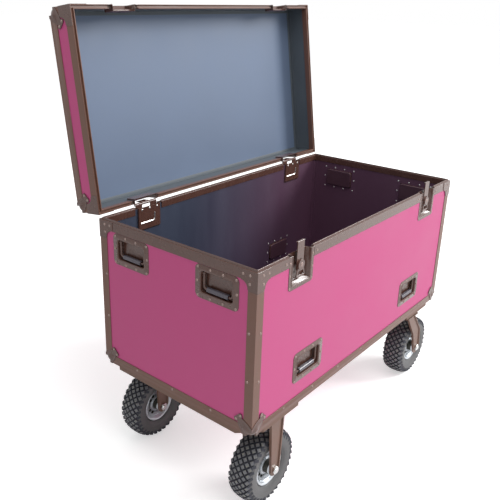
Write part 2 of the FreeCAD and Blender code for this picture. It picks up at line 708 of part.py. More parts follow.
def bail():
    """The bail: a bent rod whose turned-out ends are the pivots, drawn hanging about its pivot axis."""
    radius = float(rod_radius)
    bend = float(bail_bend)
    end = float(handle_cup_wide / 2 + dish_wall)
    leg = float(handle_cup_wide / 2 - bail_side_gap - rod_radius)
    drop = float(bail_drop)
    toe = radius * 1.2
    straight = [
        Part.makeCylinder(radius, end - leg, Vector(leg, 0, 0), Vector(1, 0, 0)),
        Part.makeCylinder(radius, drop - bend + toe, Vector(leg, toe, 0), Vector(0, -1, 0)),
        Part.makeCylinder(radius, end - leg, Vector(-end, 0, 0), Vector(1, 0, 0)),
        Part.makeCylinder(radius, drop - bend + toe, Vector(-leg, toe, 0), Vector(0, -1, 0)),
        Part.makeCylinder(radius, 2 * (leg - bend), Vector(bend - leg, -drop, 0), Vector(1, 0, 0)),
    ]
    for sign in (-1, 1):
        ring = Part.makeTorus(bend, radius, Vector(sign * (leg - bend), bend - drop, 0), Vector(0, 0, 1))
        low_x = leg - bend if sign > 0 else -leg - radius * 2
        corner = Vector(low_x, -drop - radius * 2, -radius * 2)
        quarter = Part.makeBox(bend + radius * 2, bend + radius * 2, radius * 4, corner)
        straight.append(ring.common(quarter))
    whole = straight[0].multiFuse(straight[1:]).removeSplitter()
    item = doc.addObject("Part::Feature", "Bail")
    item.Shape = whole
    return item


def grip():
    """The rubber sleeve on the bail, with softened ends."""
    body = new_body("Grip")
    half = handle_cup_wide / 2 - bail_side_gap - rod_radius - bail_bend - grip_end
    ring = new_sketch(body, "YZ_Plane")
    circle(ring, -bail_drop, 0, grip_radius)
    circle(ring, -bail_drop, 0, rod_radius + sleeve_gap)
    pad(body, ring, half * 2, middle=True)
    return body


handles = []
for side in ("left", "right"):
    for number, sign in (("a", -1), ("b", 1)):
        handles.append((side + "_handle_" + number, side, sign * end_handle_out, rim_level - end_handle_down))
for side in ("front", "back"):
    for number, sign in (("a", -1), ("b", 1)):
        handles.append((side + "_handle_" + number, side, sign * side_handle_out, underside + side_handle_up))

end_dishes = []
side_dishes = []
for name, wall, along, up in handles:
    group = end_dishes if wall in ("left", "right") else side_dishes
    group.append(settle(handle_dish(), on_wall(wall, along, up)))
    pivot = on_wall(wall, along, up + pivot_up, out=-grip_depth)
    node(name + "_bail", settle(bail(), pivot))
    node(name + "_grip", settle(grip(), pivot))
node("end_handle_dishes", *end_dishes)
node("side_handle_dishes", *side_dishes)


# Butterfly latches
def open_dish(name, wide, high, cup_wide, cup_high, cup_deep, slope, upwards):
    """A dish whose cup is open at the parting line, below it or above it, with a sloping foot."""
    way = 1 if upwards else -1
    edge = way * (parting_gap / 2)
    body = new_body(name)
    face = -dish_sunk
    back = face - cup_deep
    flange = new_sketch(body, "XY_Plane", face - dish_wall)
    low, top = (edge, high) if upwards else (-high, edge)
    rectangle(flange, -wide / 2, wide / 2, low, top)
    plate = pad(body, flange, dish_wall)

    def far_corner(edge_line):
        """Whether an edge is one of the two flange corners away from the parting line."""
        return upright(edge_line) and abs(edge_line.CenterOfMass.y) > float(high) / 2

    fillet(body, plate, latch_corner, far_corner)
    shell = new_sketch(body, "YZ_Plane")
    foot = way * (cup_high + dish_wall)
    outline(shell, [
        (edge, face - dish_wall / 2), (edge, back - dish_wall), (foot, back - dish_wall),
        (foot + way * slope, face - dish_wall), (foot + way * slope, face - dish_wall / 2),
    ])
    pad(body, shell, cup_wide + dish_wall * 2, middle=True)
    hollow = new_sketch(body, "YZ_Plane")
    outline(hollow, [
        (-edge, face + dish_wall), (-edge, back), (way * cup_high, back), (way * (cup_high + slope), face),
        (way * (cup_high + slope), face + dish_wall),
    ])
    cut = body.newObject("PartDesign::Pocket", "Pocket")
    cut.Profile = hollow
    cut.Midplane = True
    cut.setExpression("Length", cup_wide.text)
    return body


def latch_dish():
    """The latch dish, with the socket that the spindle of the key turns in."""
    body = open_dish("LatchDish", latch_wide, latch_high, latch_cup_wide, latch_cup_high, latch_cup_deep,
                     latch_slope, False)
    drill = new_sketch(body, "XY_Plane")
    circle(drill, 0, -key_down, spindle_radius + pin_gap)
    pocket(body, drill)
    return body


def keeper_dish():
    """The keeper dish of the lid, with the strike that the hook draws down on."""
    body = open_dish("KeeperDish", latch_wide, keeper_high, latch_cup_wide, keeper_cup_high, latch_cup_deep,
                     latch_slope / 2, True)
    strike_top = hook_up - nose_thick - hook_travel_down - strike_gap
    strike_face = hook_inset + hook_travel_in + hook_thick + strike_gap
    bar = new_sketch(body, "XY_Plane", -dish_sunk - latch_cup_deep)
    rectangle(bar, -latch_cup_wide / 2, latch_cup_wide / 2, strike_top - strike_thick, strike_top)
    pad(body, bar, latch_cup_deep + dish_sunk - strike_face)
    return body


def hook_plate():
    """The drawn hook: a slotted plate with a nose turned inwards at its top."""
    body = new_body("HookPlate")
    slot_half = spindle_radius + spindle_gap
    plate = new_sketch(body, "XY_Plane", -hook_inset - hook_thick)
    rectangle(plate, -hook_wide / 2, hook_wide / 2, -hook_down, hook_up)
    rectangle(plate, -slot_half, slot_half, -key_down - slot_half, hook_travel_down - key_down + slot_half)
    pad(body, plate, hook_thick)
    nose = new_sketch(body, "XY_Plane", -hook_inset - hook_thick - hook_nose)
    rectangle(nose, -hook_wide / 2, hook_wide / 2, hook_up - nose_thick, hook_up)
    pad(body, nose, hook_nose + hook_thick / 2)
    return body


def butterfly_key():
    """The key: a round hub with its looped wing folded down, on a spindle that reaches through the dish."""
    body = new_body("ButterflyKey")
    face = hook_inset - spindle_gap
    wing = new_sketch(body, "XY_Plane", -face)
    outline(wing, [(-wing_root, 0), (-wing_foot, -wing_long), (wing_foot, -wing_long), (wing_root, 0)])
    plate = pad(body, wing, wing_thick)

    def foot_corner(edge_line):
        """Whether an edge is one of the two corners of the foot of the wing."""
        return upright(edge_line) and edge_line.CenterOfMass.y < -float(wing_long) / 2

    fillet(body, plate, wing_corner, foot_corner)
    window = new_sketch(body, "XY_Plane", -face)
    outline(window, [
        (-wing_root, -key_radius - wing_frame / 2), (wing_frame - wing_foot, wing_frame - wing_long),
        (wing_foot - wing_frame, wing_frame - wing_long), (wing_root, -key_radius - wing_frame / 2),
    ])
    pocket(body, window)
    hub = new_sketch(body, "XY_Plane", -face)
    circle(hub, 0, 0, key_radius)
    pad(body, hub, key_thick)
    spindle = new_sketch(body, "XY_Plane", -latch_cup_deep - dish_sunk - dish_wall)
    circle(spindle, 0, 0, spindle_radius)
    pad(body, spindle, latch_cup_deep + dish_sunk + dish_wall - face + key_thick / 2)
    return body


latch_dishes = []
keepers = []
for number, sign in (("left", -1), ("right", 1)):
    spot = on_wall("front", sign * latch_out, rim_level)
    latch_dishes.append(settle(latch_dish(), spot))
    keepers.append(settle(keeper_dish(), spot, lid=True))
    node(number + "_latch_hook", settle(hook_plate(), spot))
    key_spot = on_wall("front", sign * latch_out, rim_level - key_down)
    node(number + "_latch_key", settle(butterfly_key(), key_spot))
node("latch_dishes", *latch_dishes)
node("lid_keepers", *keepers)


# Lid-stay hinges
def knuckle(name, dish_body, spans, upwards):
    """A hinge dish with the straps and knuckles that hold the pin."""
    solids = [dish_body]
    for low, high in spans:
        ring = doc.addObject("Part::Cylinder", "Ring")
        ring.setExpression("Radius", knuckle_radius.text)
        ring.setExpression("Height", (high - low).text)
        ring.Placement = Placement(Vector(float(low), float(pin_above), float(pin_back)),
                                   Rotation(Vector(0, 1, 0), 90))
        strap = doc.addObject("Part::Box", "Strap")
        strap.setExpression("Length", (high - low).text)
        strap.setExpression("Width", strap_high.text)
        strap.setExpression("Height", (strap_thick + dish_sunk).text)
        foot = pin_above if upwards else pin_above - strap_high
        strap.Placement = Placement(Vector(float(low), float(foot), -float(dish_sunk)), Rotation())
        solids += [ring, strap]
    joined = doc.addObject("Part::MultiFuse", "Joined")
    joined.Shapes = solids
    bore = doc.addObject("Part::Cylinder", "Bore")
    bore.setExpression("Radius", (pin_radius + pin_gap).text)
    bore.setExpression("Height", (knuckle_end * 4).text)
    bore.Placement = Placement(Vector(-float(knuckle_end) * 2, float(pin_above), float(pin_back)),
                               Rotation(Vector(0, 1, 0), 90))
    cut = doc.addObject("Part::Cut", name)
    cut.Base = joined
    cut.Tool = bore
    return cut


outer_spans = [(-knuckle_end, -knuckle_half - knuckle_gap), (knuckle_half + knuckle_gap, knuckle_end)]
inner_spans = [(-knuckle_half, knuckle_half)]
hinge_dishes = []
hinge_leaves = []
hinge_pins = []
for sign in (-1, 1):
    spot = on_wall("back", sign * hinge_out, rim_level)
    lower = open_dish("HingeDish", hinge_wide, hinge_high, hinge_cup_wide, hinge_cup_high, hinge_cup_deep,
                      hinge_slope, False)
    hinge_dishes.append(settle(knuckle("HingeBase", lower, outer_spans, False), spot))
    upper = open_dish("LeafDish", hinge_wide, hinge_leaf_high, hinge_cup_wide, hinge_cup_leaf,
                      hinge_cup_deep, hinge_slope, True)
    hinge_leaves.append(settle(knuckle("HingeLeaf", upper, inner_spans, True), spot, lid=True))
    pin = doc.addObject("Part::Cylinder", "HingePin")
    pin.setExpression("Radius", pin_radius.text)
    pin.setExpression("Height", (knuckle_end * 2).text)
    across = Placement(Vector(-float(knuckle_end), float(pin_above), float(pin_back)),
                       Rotation(Vector(0, 1, 0), 90))
    hinge_pins.append(settle(pin, spot * across))
node("hinge_dishes", *hinge_dishes)
node("lid_hinge_leaves", *hinge_leaves)
node("hinge_pins", *hinge_pins)


# Corner caps
def line(start, end):
    """A straight edge in the XY plane."""
    return Part.LineSegment(Vector(start[0], start[1], 0), Vector(end[0], end[1], 0)).toShape()


def arc(start, middle, end):
    """A round edge in the XY plane through three points."""
    return Part.Arc(Vector(start[0], start[1], 0), Vector(middle[0], middle[1], 0),
                    Vector(end[0], end[1], 0)).toShape()


def sheet_of(edges, thick):
    """A flat sheet below the XY plane, cut to a closed outline."""
    return Part.Face(Part.Wire(Part.sortEdges(edges)[0])).extrude(Vector(0, 0, -thick))


def ear_plate():
    """One face of a ball corner: an ear along the diagonal that ends in two round lobes."""
    thick = float(cap_thick)
    reach = float(cap_edge)
    near = float(cap_lobe - lobe_out)
    far = float(cap_lobe + lobe_out)
    lobe = float(lobe_radius)
    waist = (reach + near) / 2
    lean = float(cap_waist) / 3
    sink = float(cap_waist)
    slant = lobe * math.sqrt(0.5)
    edges = [
        line((-thick, -thick), (reach, -thick)), line((reach, -thick), (reach, 0)),
        arc((reach, 0), (waist + lean, sink), (far - slant, near - slant)),
        arc((far - slant, near - slant), (far + slant, near - slant), (far + slant, near + slant)),
        line((far + slant, near + slant), (near + slant, far + slant)),
        arc((near + slant, far + slant), (near - slant, far + slant), (near - slant, far - slant)),
        arc((near - slant, far - slant), (sink, waist + lean), (0, reach)),
        line((0, reach), (-thick, reach)), line((-thick, reach), (-thick, -thick)),
    ]
    return sheet_of(edges, thick)


def brace_plate():
    """One face of a rim brace: two arms that meet in a round hollow corner."""
    thick = float(cap_thick)
    wide = float(brace_wide)
    hollow = float(brace_round)
    cut = float(brace_cut)
    reach = wide + hollow + cut
    inside = wide + hollow * (1 - math.sqrt(0.5))
    edges = [
        line((-thick, -thick), (reach, -thick)), line((reach, -thick), (reach, wide - cut)),
        line((reach, wide - cut), (reach - cut, wide)),
        arc((reach - cut, wide), (inside, inside), (wide, reach - cut)),
        line((wide, reach - cut), (wide - cut, reach)), line((wide - cut, reach), (-thick, reach)),
        line((-thick, reach), (-thick, -thick)),
    ]
    return sheet_of(edges, thick)


TO_FRONT = FreeCAD.Matrix(1, 0, 0, 0, 0, 0, 1, 0, 0, 1, 0, 0, 0, 0, 0, 1)
TO_SIDE = FreeCAD.Matrix(0, 0, 1, 0, 1, 0, 0, 0, 0, 1, 0, 0, 0, 0, 0, 1)


def ball_cap(trimmed):
    """A ball corner over the corner at the origin: three ears and a ball, the lower ear cut at the board."""
    lower = ear_plate()
    front_face = ear_plate().transformGeometry(TO_FRONT)
    side_face = ear_plate().transformGeometry(TO_SIDE)
    if trimmed:
        limit = float(board_inset * 2 + board_cut - cap_trim)
        far = float(cap_lobe) * 3
        spots = [Vector(limit, 0, 0), Vector(far, 0, 0), Vector(far, far, 0), Vector(0, far, 0),
                 Vector(0, limit, 0), Vector(limit, 0, 0)]
        beyond = Part.Face(Part.makePolygon(spots)).extrude(Vector(0, 0, -float(cap_thick) * 2))
        lower = lower.cut(beyond)
    centre = float(ball_radius - ball_out)
    middle = Vector(centre, centre, centre)
    ball = Part.makeSphere(float(ball_radius), middle)
    room = float(cap_lobe) * 3
    outside = lower.multiFuse([front_face, side_face, ball]).cut(Part.makeBox(room, room, room))
    hollow = Part.makeSphere(float(ball_radius - ball_wall), middle)
    shell = ball.cut(hollow).common(Part.makeBox(centre, centre, centre))
    out = float(ball_radius)
    corner = Part.makeBox(centre + out, centre + out, centre + out, Vector(-out, -out, -out)).cut(ball)
    return outside.fuse(shell).cut(corner).removeSplitter()


def rim_brace():
    """A rim brace: a bent plate round the corner at the origin, standing up from the parting line."""
    front_face = brace_plate().transformGeometry(TO_FRONT)
    side_face = brace_plate().transformGeometry(TO_SIDE)
    whole = front_face.fuse(side_face)
    room = float(brace_wide) * 4
    whole = whole.cut(Part.makeBox(room, room, room, Vector(0, 0, -room / 2)))
    below = Part.makeBox(room * 2, room * 2, room, Vector(-room, -room, float(parting_gap) / 2 - room))
    return whole.cut(below).removeSplitter()


def shape_item(name, shape):
    """A document object that holds a shape."""
    item = doc.addObject("Part::Feature", name)
    item.Shape = shape
    return item


def at_top_corner(side_x, side_y, turn, up):
    """The same as at_corner for a piece that hangs down: turned over, about the diagonal of the corner."""
    over = Placement(Vector(), Rotation(Vector(1, 1, 0), 180))
    return at_corner(side_x, side_y, turn, up) * over


caps = []
lid_caps = []
body_ball = ball_cap(True)
lid_ball = ball_cap(False)
brace = rim_brace()
for side_x, side_y, turn in CORNERS:
    caps.append(settle(shape_item("BallCap", body_ball), at_corner(side_x, side_y, turn, underside)))
    caps.append(settle(shape_item("RimBrace", brace), at_top_corner(side_x, side_y, turn, rim_level)))
    top_level = rim_level + lid_height
    spot = at_top_corner(side_x, side_y, turn, top_level)
    lid_caps.append(settle(shape_item("BallCap", lid_ball), spot, lid=True))
    spot = at_corner(side_x, side_y, turn, rim_level)
    lid_caps.append(settle(shape_item("RimBrace", brace), spot, lid=True))
node("body_corner_caps", *caps)
node("lid_corner_caps", *lid_caps)


# Castors
def castor_board():
    """A board across one end, with cut-off corners."""
    body = new_body("CastorBoard")
    sketch = new_sketch(body, "XY_Plane")
    near = board_inset
    far = board_inset + board_length
    half = trunk_width / 2 - board_inset
    outline(sketch, [
        (near, board_cut - half), (near + board_cut, -half), (far, -half), (far, half),
        (near + board_cut, half), (near, half - board_cut),
    ])
    pad(body, sketch, board_thick)
    return body


boards = []
for end_sign, turn in ((-1, 0), (1, 180)):
    spot = Vector(end_sign * float(trunk_length) / 2, 0, float(castor_height))
    boards.append(settle(castor_board(), Placement(spot, Rotation(Vector(0, 0, 1), turn))))
node("castor_boards", *boards)


def plate_sketch(body, offset=0):
    """The outline of a castor plate with its four bolt holes."""
    sketch = new_sketch(body, "XY_Plane", offset)
    rectangle(sketch, -plate_along / 2, plate_along / 2, -plate_across / 2, plate_across / 2)
    for sign_x in (-1, 1):
        for sign_y in (-1, 1):
            circle(sketch, sign_x * bolt_along / 2, sign_y * bolt_across / 2, bolt_hole)
    return sketch


def outer_upright(edge):
    """Whether an edge is one of the four outer corners of a castor plate."""
    if not upright(edge):
        return False
    middle = edge.CenterOfMass
    return (abs(middle.x) > float(plate_along / 2 - plate_corner)
            and abs(middle.y) > float(plate_across / 2 - plate_corner))


def fork_legs(body, near_edge, far_edge, foot_radius, axle_x):
    """Two legs between two bent edges, drawn from the crown down, their feet rounded about the axle.

    The edges are turned outwards and the feet are bored for the bolt.
    """
    drop = wheel_radius - castor_height
    leg_middle = fork_gap + fork_thick / 2
    rib_deep = fork_thick + fork_rib
    rib_middle = fork_gap + rib_deep / 2
    for sign in (-1, 1):
        leg = new_sketch(body, "XZ_Plane", -sign * leg_middle - fork_thick / 2)
        outline(leg, near_edge + far_edge[::-1])
        pad(body, leg, fork_thick)
        foot = new_sketch(body, "XZ_Plane", -sign * leg_middle - fork_thick / 2)
        circle(foot, axle_x, drop, foot_radius)
        pad(body, foot, fork_thick)
        ribs = new_sketch(body, "XZ_Plane", -sign * rib_middle - rib_deep / 2)
        outline(ribs, near_edge + [(across + fork_rib_wide, up) for across, up in near_edge[::-1]])
        outline(ribs, [(across - fork_rib_wide, up) for across, up in far_edge] + far_edge[::-1])
        pad(body, ribs, rib_deep)
    drill = new_sketch(body, "XZ_Plane")
    circle(drill, axle_x, drop, axle_radius + pin_gap)
    pocket(body, drill)


def fixed_fork():
    """A fixed castor: plate and two straight legs, with Z = 0 at the top of the plate."""
    body = new_body("FixedFork")
    plate = pad(body, plate_sketch(body, -plate_thick), plate_thick)
    fillet(body, plate, plate_corner, outer_upright)
    drop = wheel_radius - castor_height
    near = [(-fork_top / 2, -plate_thick / 2), (-fork_foot, drop)]
    far = [(fork_top / 2, -plate_thick / 2), (fork_foot, drop)]
    fork_legs(body, near, far, fork_foot, 0)
    return body


def swivel_plate():
    """A swivel castor's plate with its raised race and the kingpin."""
    body = new_body("SwivelPlate")
    plate = pad(body, plate_sketch(body, -plate_thick), plate_thick)
    fillet(body, plate, plate_corner, outer_upright)
    race = new_sketch(body, "XY_Plane", -race_high)
    circle(race, 0, 0, race_radius)
    pad(body, race, race_high - plate_thick / 2)
    pin = new_sketch(body, "XY_Plane", -race_high - crown_thick * 2)
    circle(pin, 0, 0, kingpin_radius)
    pad(body, pin, crown_thick * 3)
    return body


def swivel_fork():
    """The turning part of a swivel castor: a round crown and two legs that trail behind the kingpin."""
    body = new_body("SwivelFork")
    top_level = -race_high - race_gap
    crown = new_sketch(body, "XY_Plane", top_level - crown_thick)
    half_across = fork_gap + fork_thick
    rectangle(crown, -swivel_near, swivel_near, -half_across, half_across)
    circle(crown, 0, 0, kingpin_radius + pin_gap)
    pad(body, crown, crown_thick)
    drop = wheel_radius - castor_height
    start = top_level - crown_thick / 2
    near = [(-swivel_near, start), (trail - bend_near, drop + bend_high), (trail - swivel_foot, drop)]
    far = [(swivel_far, start), (trail + bend_far, drop + bend_high), (trail + swivel_foot, drop)]
    fork_legs(body, near, far, swivel_foot, trail)
    return body


def axle_bolt():
    """An axle bolt with its hexagon head and nut outside the fork legs, along Y."""
    body = new_body("AxleBolt")
    shank = new_sketch(body, "XZ_Plane")
    circle(shank, 0, 0, axle_radius)
    pad(body, shank, axle_half * 2, middle=True)
    corner = axle_across / math.sqrt(3)
    for sign in (-1, 1):
        hexagon = new_sketch(body, "XZ_Plane", sign * (fork_gap + fork_thick + axle_head / 2) - axle_head / 2)
        turns = [math.radians(60 * step) for step in range(6)]
        outline(hexagon, [(corner * math.cos(turn), corner * math.sin(turn)) for turn in turns])
        pad(body, hexagon, axle_head)
    return body


RIM_HOLES = 5


def wheel_rim():
    """A pressed rim with a dished centre, round holes and a long hub, turned about Z."""
    body = new_body("WheelRim")
    section = new_sketch(body, "XZ_Plane")
    half = rim_wide / 2
    wall = rim_flange - bead_radius
    bore = axle_radius + pin_gap
    hub_half = hub_wide / 2
    outline(section, [
        (bore, -hub_half), (hub_radius, -hub_half), (hub_radius, -rim_disc),
        (bead_radius - wall / 2, -rim_disc), (bead_radius - wall / 2, -half + wall),
        (rim_flange - wall / 2, -half), (rim_flange, -half),
        (rim_flange, -half + wall / 3), (bead_radius, -half + wall), (bead_radius, half - wall),
        (rim_flange, half - wall / 3), (rim_flange, half), (rim_flange - wall / 2, half),
        (bead_radius - wall / 2, half - wall), (bead_radius - wall / 2, rim_disc), (hub_radius, rim_disc),
        (hub_radius, hub_half), (bore, hub_half),
    ])
    turned = body.newObject("PartDesign::Revolution", "Revolution")
    turned.Profile = section
    turned.ReferenceAxis = (section, ["V_Axis"])
    turned.Angle = 360
    holes = new_sketch(body, "XY_Plane")
    ring = (hub_radius + bead_radius) / 2
    for step in range(RIM_HOLES):
        turn = math.radians(360 / RIM_HOLES * step)
        circle(holes, ring * math.cos(turn), ring * math.sin(turn), rim_hole)
    pocket(body, holes)
    return body


def tyre():
    """A pneumatic tyre, turned about Z: bead, bulging wall, square shoulder and a tread with two grooves."""
    body = new_body("Tyre")
    section = new_sketch(body, "XZ_Plane")
    half = tyre_wide / 2
    seat = rim_wide / 2 - (rim_flange - bead_radius) - sleeve_gap * 2
    bead = bead_radius + sleeve_gap * 2
    right = [
        (bead, seat), (rim_flange + wall_foot / 2, seat), (rim_flange + wall_foot * 2, half - shoulder_in),
        (rim_flange + wall_side, half), (wheel_radius - shoulder_drop * 2.5, half),
        (wheel_radius - shoulder_drop, half - shoulder_in), (wheel_radius - shoulder_drop / 4, crown_edge),
        (wheel_radius, crown_edge / 2), (wheel_radius, groove_out + groove_wide),
        (wheel_radius - groove_deep, groove_out + groove_wide / 2), (wheel_radius - groove_deep, groove_out),
        (wheel_radius, groove_out - groove_wide / 2),
    ]
    left = [(radius, -across) for radius, across in reversed(right)]
    outline(section, right + left)
    turned = body.newObject("PartDesign::Revolution", "Revolution")
    turned.Profile = section
    turned.ReferenceAxis = (section, ["V_Axis"])
    turned.Angle = 360
    return body


plate_x = trunk_length / 2 - plate_in
plate_y = trunk_width / 2 - wheel_in
axle_bolts = []
swivel_plates = []
for end_name, end_sign in (("left", -1), ("right", 1)):
    for side_name, side_sign in (("front", -1), ("back", 1)):
        name = side_name + "_" + end_name
        plate_spot = Vector(end_sign * float(plate_x), side_sign * float(plate_y), float(castor_height))
        lag = float(trail) if end_name == "right" else 0.0
        axle_spot = Vector(plate_spot.x + lag, plate_spot.y, float(wheel_radius))
        wheel_spot = Placement(axle_spot, Rotation(Vector(1, 0, 0), 90))
        node(name + "_tyre", settle(tyre(), wheel_spot))
        node(name + "_rim", settle(wheel_rim(), wheel_spot))
        bolt = settle(axle_bolt(), Placement(axle_spot, Rotation()))
        spot = Placement(plate_spot, Rotation())
        if end_name == "left":
            node(name + "_fixed_fork", settle(fixed_fork(), spot))
            axle_bolts.append(bolt)
        else:
            node(name + "_swivel_fork", settle(swivel_fork(), spot))
            node(name + "_axle_bolt", bolt)
            swivel_plates.append(settle(swivel_plate(), spot))
node("left_axle_bolts", *axle_bolts)
node("swivel_plates", *swivel_plates)

doc.recompute()

broken = []
for item in doc.Objects:
    if "Invalid" in item.State or "Error" in item.State:
        broken.append(item.Name + " " + item.Label)
for item in nodes:
    if item.Shape.isNull() or not item.Shape.isValid() or not item.Shape.Solids:
        broken.append("shape of " + item.Label)
if broken:
    raise RuntimeError("these objects failed: " + ", ".join(broken))

os.makedirs("parts", exist_ok=True)
for item in nodes:
    item.Shape.exportStep(os.path.join("parts", item.Label + ".step"))
print("%d nodes, %d solids" % (len(nodes), sum(len(item.Shape.Solids) for item in nodes)))
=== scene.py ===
import logging
import math
from dataclasses import dataclass
from enum import Enum
from typing import Callable, ClassVar, Sequence

import bmesh
import bpy
from mathutils import Matrix, Vector


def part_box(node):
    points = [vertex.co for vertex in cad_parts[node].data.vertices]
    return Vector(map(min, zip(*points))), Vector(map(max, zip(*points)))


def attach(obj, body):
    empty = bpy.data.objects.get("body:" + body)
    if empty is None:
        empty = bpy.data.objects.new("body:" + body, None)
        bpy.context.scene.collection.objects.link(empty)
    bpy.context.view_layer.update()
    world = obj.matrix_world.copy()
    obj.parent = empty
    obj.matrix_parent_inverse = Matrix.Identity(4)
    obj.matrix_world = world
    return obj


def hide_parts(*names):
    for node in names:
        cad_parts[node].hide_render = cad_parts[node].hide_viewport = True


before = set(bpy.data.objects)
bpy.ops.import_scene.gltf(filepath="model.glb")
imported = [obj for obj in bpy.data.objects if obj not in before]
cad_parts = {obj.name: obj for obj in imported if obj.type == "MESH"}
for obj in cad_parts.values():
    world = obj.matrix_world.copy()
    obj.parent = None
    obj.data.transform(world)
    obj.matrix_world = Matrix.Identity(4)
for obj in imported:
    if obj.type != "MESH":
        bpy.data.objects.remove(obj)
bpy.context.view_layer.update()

log = logging.getLogger("tack_trunk")

MM = 0.001
SMOOTH_BELOW = 25.0
MERGE_DISTANCE = 0.00001

Point = tuple[float, float]
Ring = list[Vector]


# Placing on the walls
class Wall(Enum):
    """The four walls of the trunk, with the turn about Z, in degrees, that brings the front there."""

    FRONT = 0
    RIGHT = 90
    BACK = 180
    LEFT = -90


LONG_WALLS = (Wall.FRONT, Wall.BACK)
END_WALLS = (Wall.LEFT, Wall.RIGHT)


@dataclass(frozen=True)
class Trunk:
    """Where the trunk stands in the frame, in millimetres apart from the centre, which is in metres."""

    centre: Vector
    underside: float = 322.0
    body_high: float = 495.0
    lid_high: float = 104.0
    length: float = 1200.0
    width: float = 610.0
    pin_back: float = 5.0
    pin_above: float = 5.5
    open_turn: float = 98.0

    @classmethod
    def from_frame(cls) -> "Trunk":
        """Read the middle of the trunk's plan from its edge angles."""
        low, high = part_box("body_edge_angles")
        return cls(centre=Vector(((low.x + high.x) / 2, (low.y + high.y) / 2, 0.0)))

    @property
    def rim(self) -> float:
        """Height of the parting line above the floor."""
        return self.underside + self.body_high

    def opened(self) -> Matrix:
        """The turn that stands the closed lid open, in the trunk's own millimetres."""
        pin = Vector((0.0, self.width / 2 + self.pin_back, self.rim + self.pin_above))
        turn = Matrix.Rotation(math.radians(-self.open_turn), 4, "X")
        return Matrix.Translation(pin) @ turn @ Matrix.Translation(-pin)

    def on_wall(self, wall: Wall, along: float = 0.0, up: float = 0.0, out: float = 0.0,
                lid: bool = False) -> Matrix:
        """Where a shape drawn flat in XY and facing +Z lies on a wall, seen square on from outside.

        Args:
            wall: The wall it lies on.
            along: Distance to the right of the wall's middle.
            up: Height above the parting line.
            out: Distance outside the trunk's face.
            lid: Whether the wall is one of the lid's.

        Returns:
            The matrix from the shape's millimetres to the frame's metres.
        """
        depth = self.width if wall in LONG_WALLS else self.length
        place = Matrix.Rotation(math.radians(wall.value), 4, "Z")
        place = place @ Matrix.Translation((along, -depth / 2 - out, self.rim + up))
        place = place @ Matrix.Rotation(math.radians(90), 4, "X")
        return self.to_frame(place, lid)

    def depth(self, point: Vector, lid: bool) -> float:
        """How many millimetres a point lies under the nearest outer face of the body or the lid.

        Args:
            point: A point of the frame, in metres.
            lid: Whether to measure in the lid.

        Returns:
            The least distance to the four walls and to the underside or the lid's top.
        """
        own = self.to_frame(Matrix.Identity(4), lid).inverted() @ point
        level = self.rim + self.lid_high - own.z if lid else own.z - self.underside
        return min(self.length / 2 - abs(own.x), self.width / 2 - abs(own.y), level)

    def to_frame(self, place: Matrix, lid: bool) -> Matrix:
        """A placement in the trunk's millimetres as one in the frame's metres."""
        opened = self.opened() if lid else Matrix.Identity(4)
        return Matrix.Translation(self.centre) @ Matrix.Scale(MM, 4) @ opened @ place


# Nodes of trees
# A colour Mix node shares its sockets' names with the other data types, so they are picked by index.
MIX_A, MIX_B, MIX_RESULT = 6, 7, 2


def wire(tree: bpy.types.NodeTree, kind: str, inputs: dict | None = None,
         **settings: object) -> bpy.types.Node:
    """Add one node with its settings, values and links.

    Args:
        tree: The tree that gets the node.
        kind: The node's type name.
        inputs: Values or source sockets, by socket name or index.
        **settings: Attributes of the node.

    Returns:
        The new node.
    """
    new = tree.nodes.new(kind)
    for name, value in settings.items():
        setattr(new, name, value)
    for key, value in (inputs or {}).items():
        if isinstance(value, bpy.types.NodeSocket):
            tree.links.new(value, new.inputs[key])
        else:
            new.inputs[key].default_value = value
    return new


def linear(code: str, alpha: float = 1.0) -> tuple[float, float, float, float]:
    """Turn an sRGB hex code into linear colour.

    Args:
        code: The colour as # and six hex digits.
        alpha: Its opacity.

    Returns:
        Linear red, green and blue, and the opacity.
    """
    values = [int(code[i:i + 2], 16) / 255 for i in (1, 3, 5)]
    values = [v / 12.92 if v <= 0.04045 else ((v + 0.055) / 1.055) ** 2.4 for v in values]
    return (values[0], values[1], values[2], alpha)


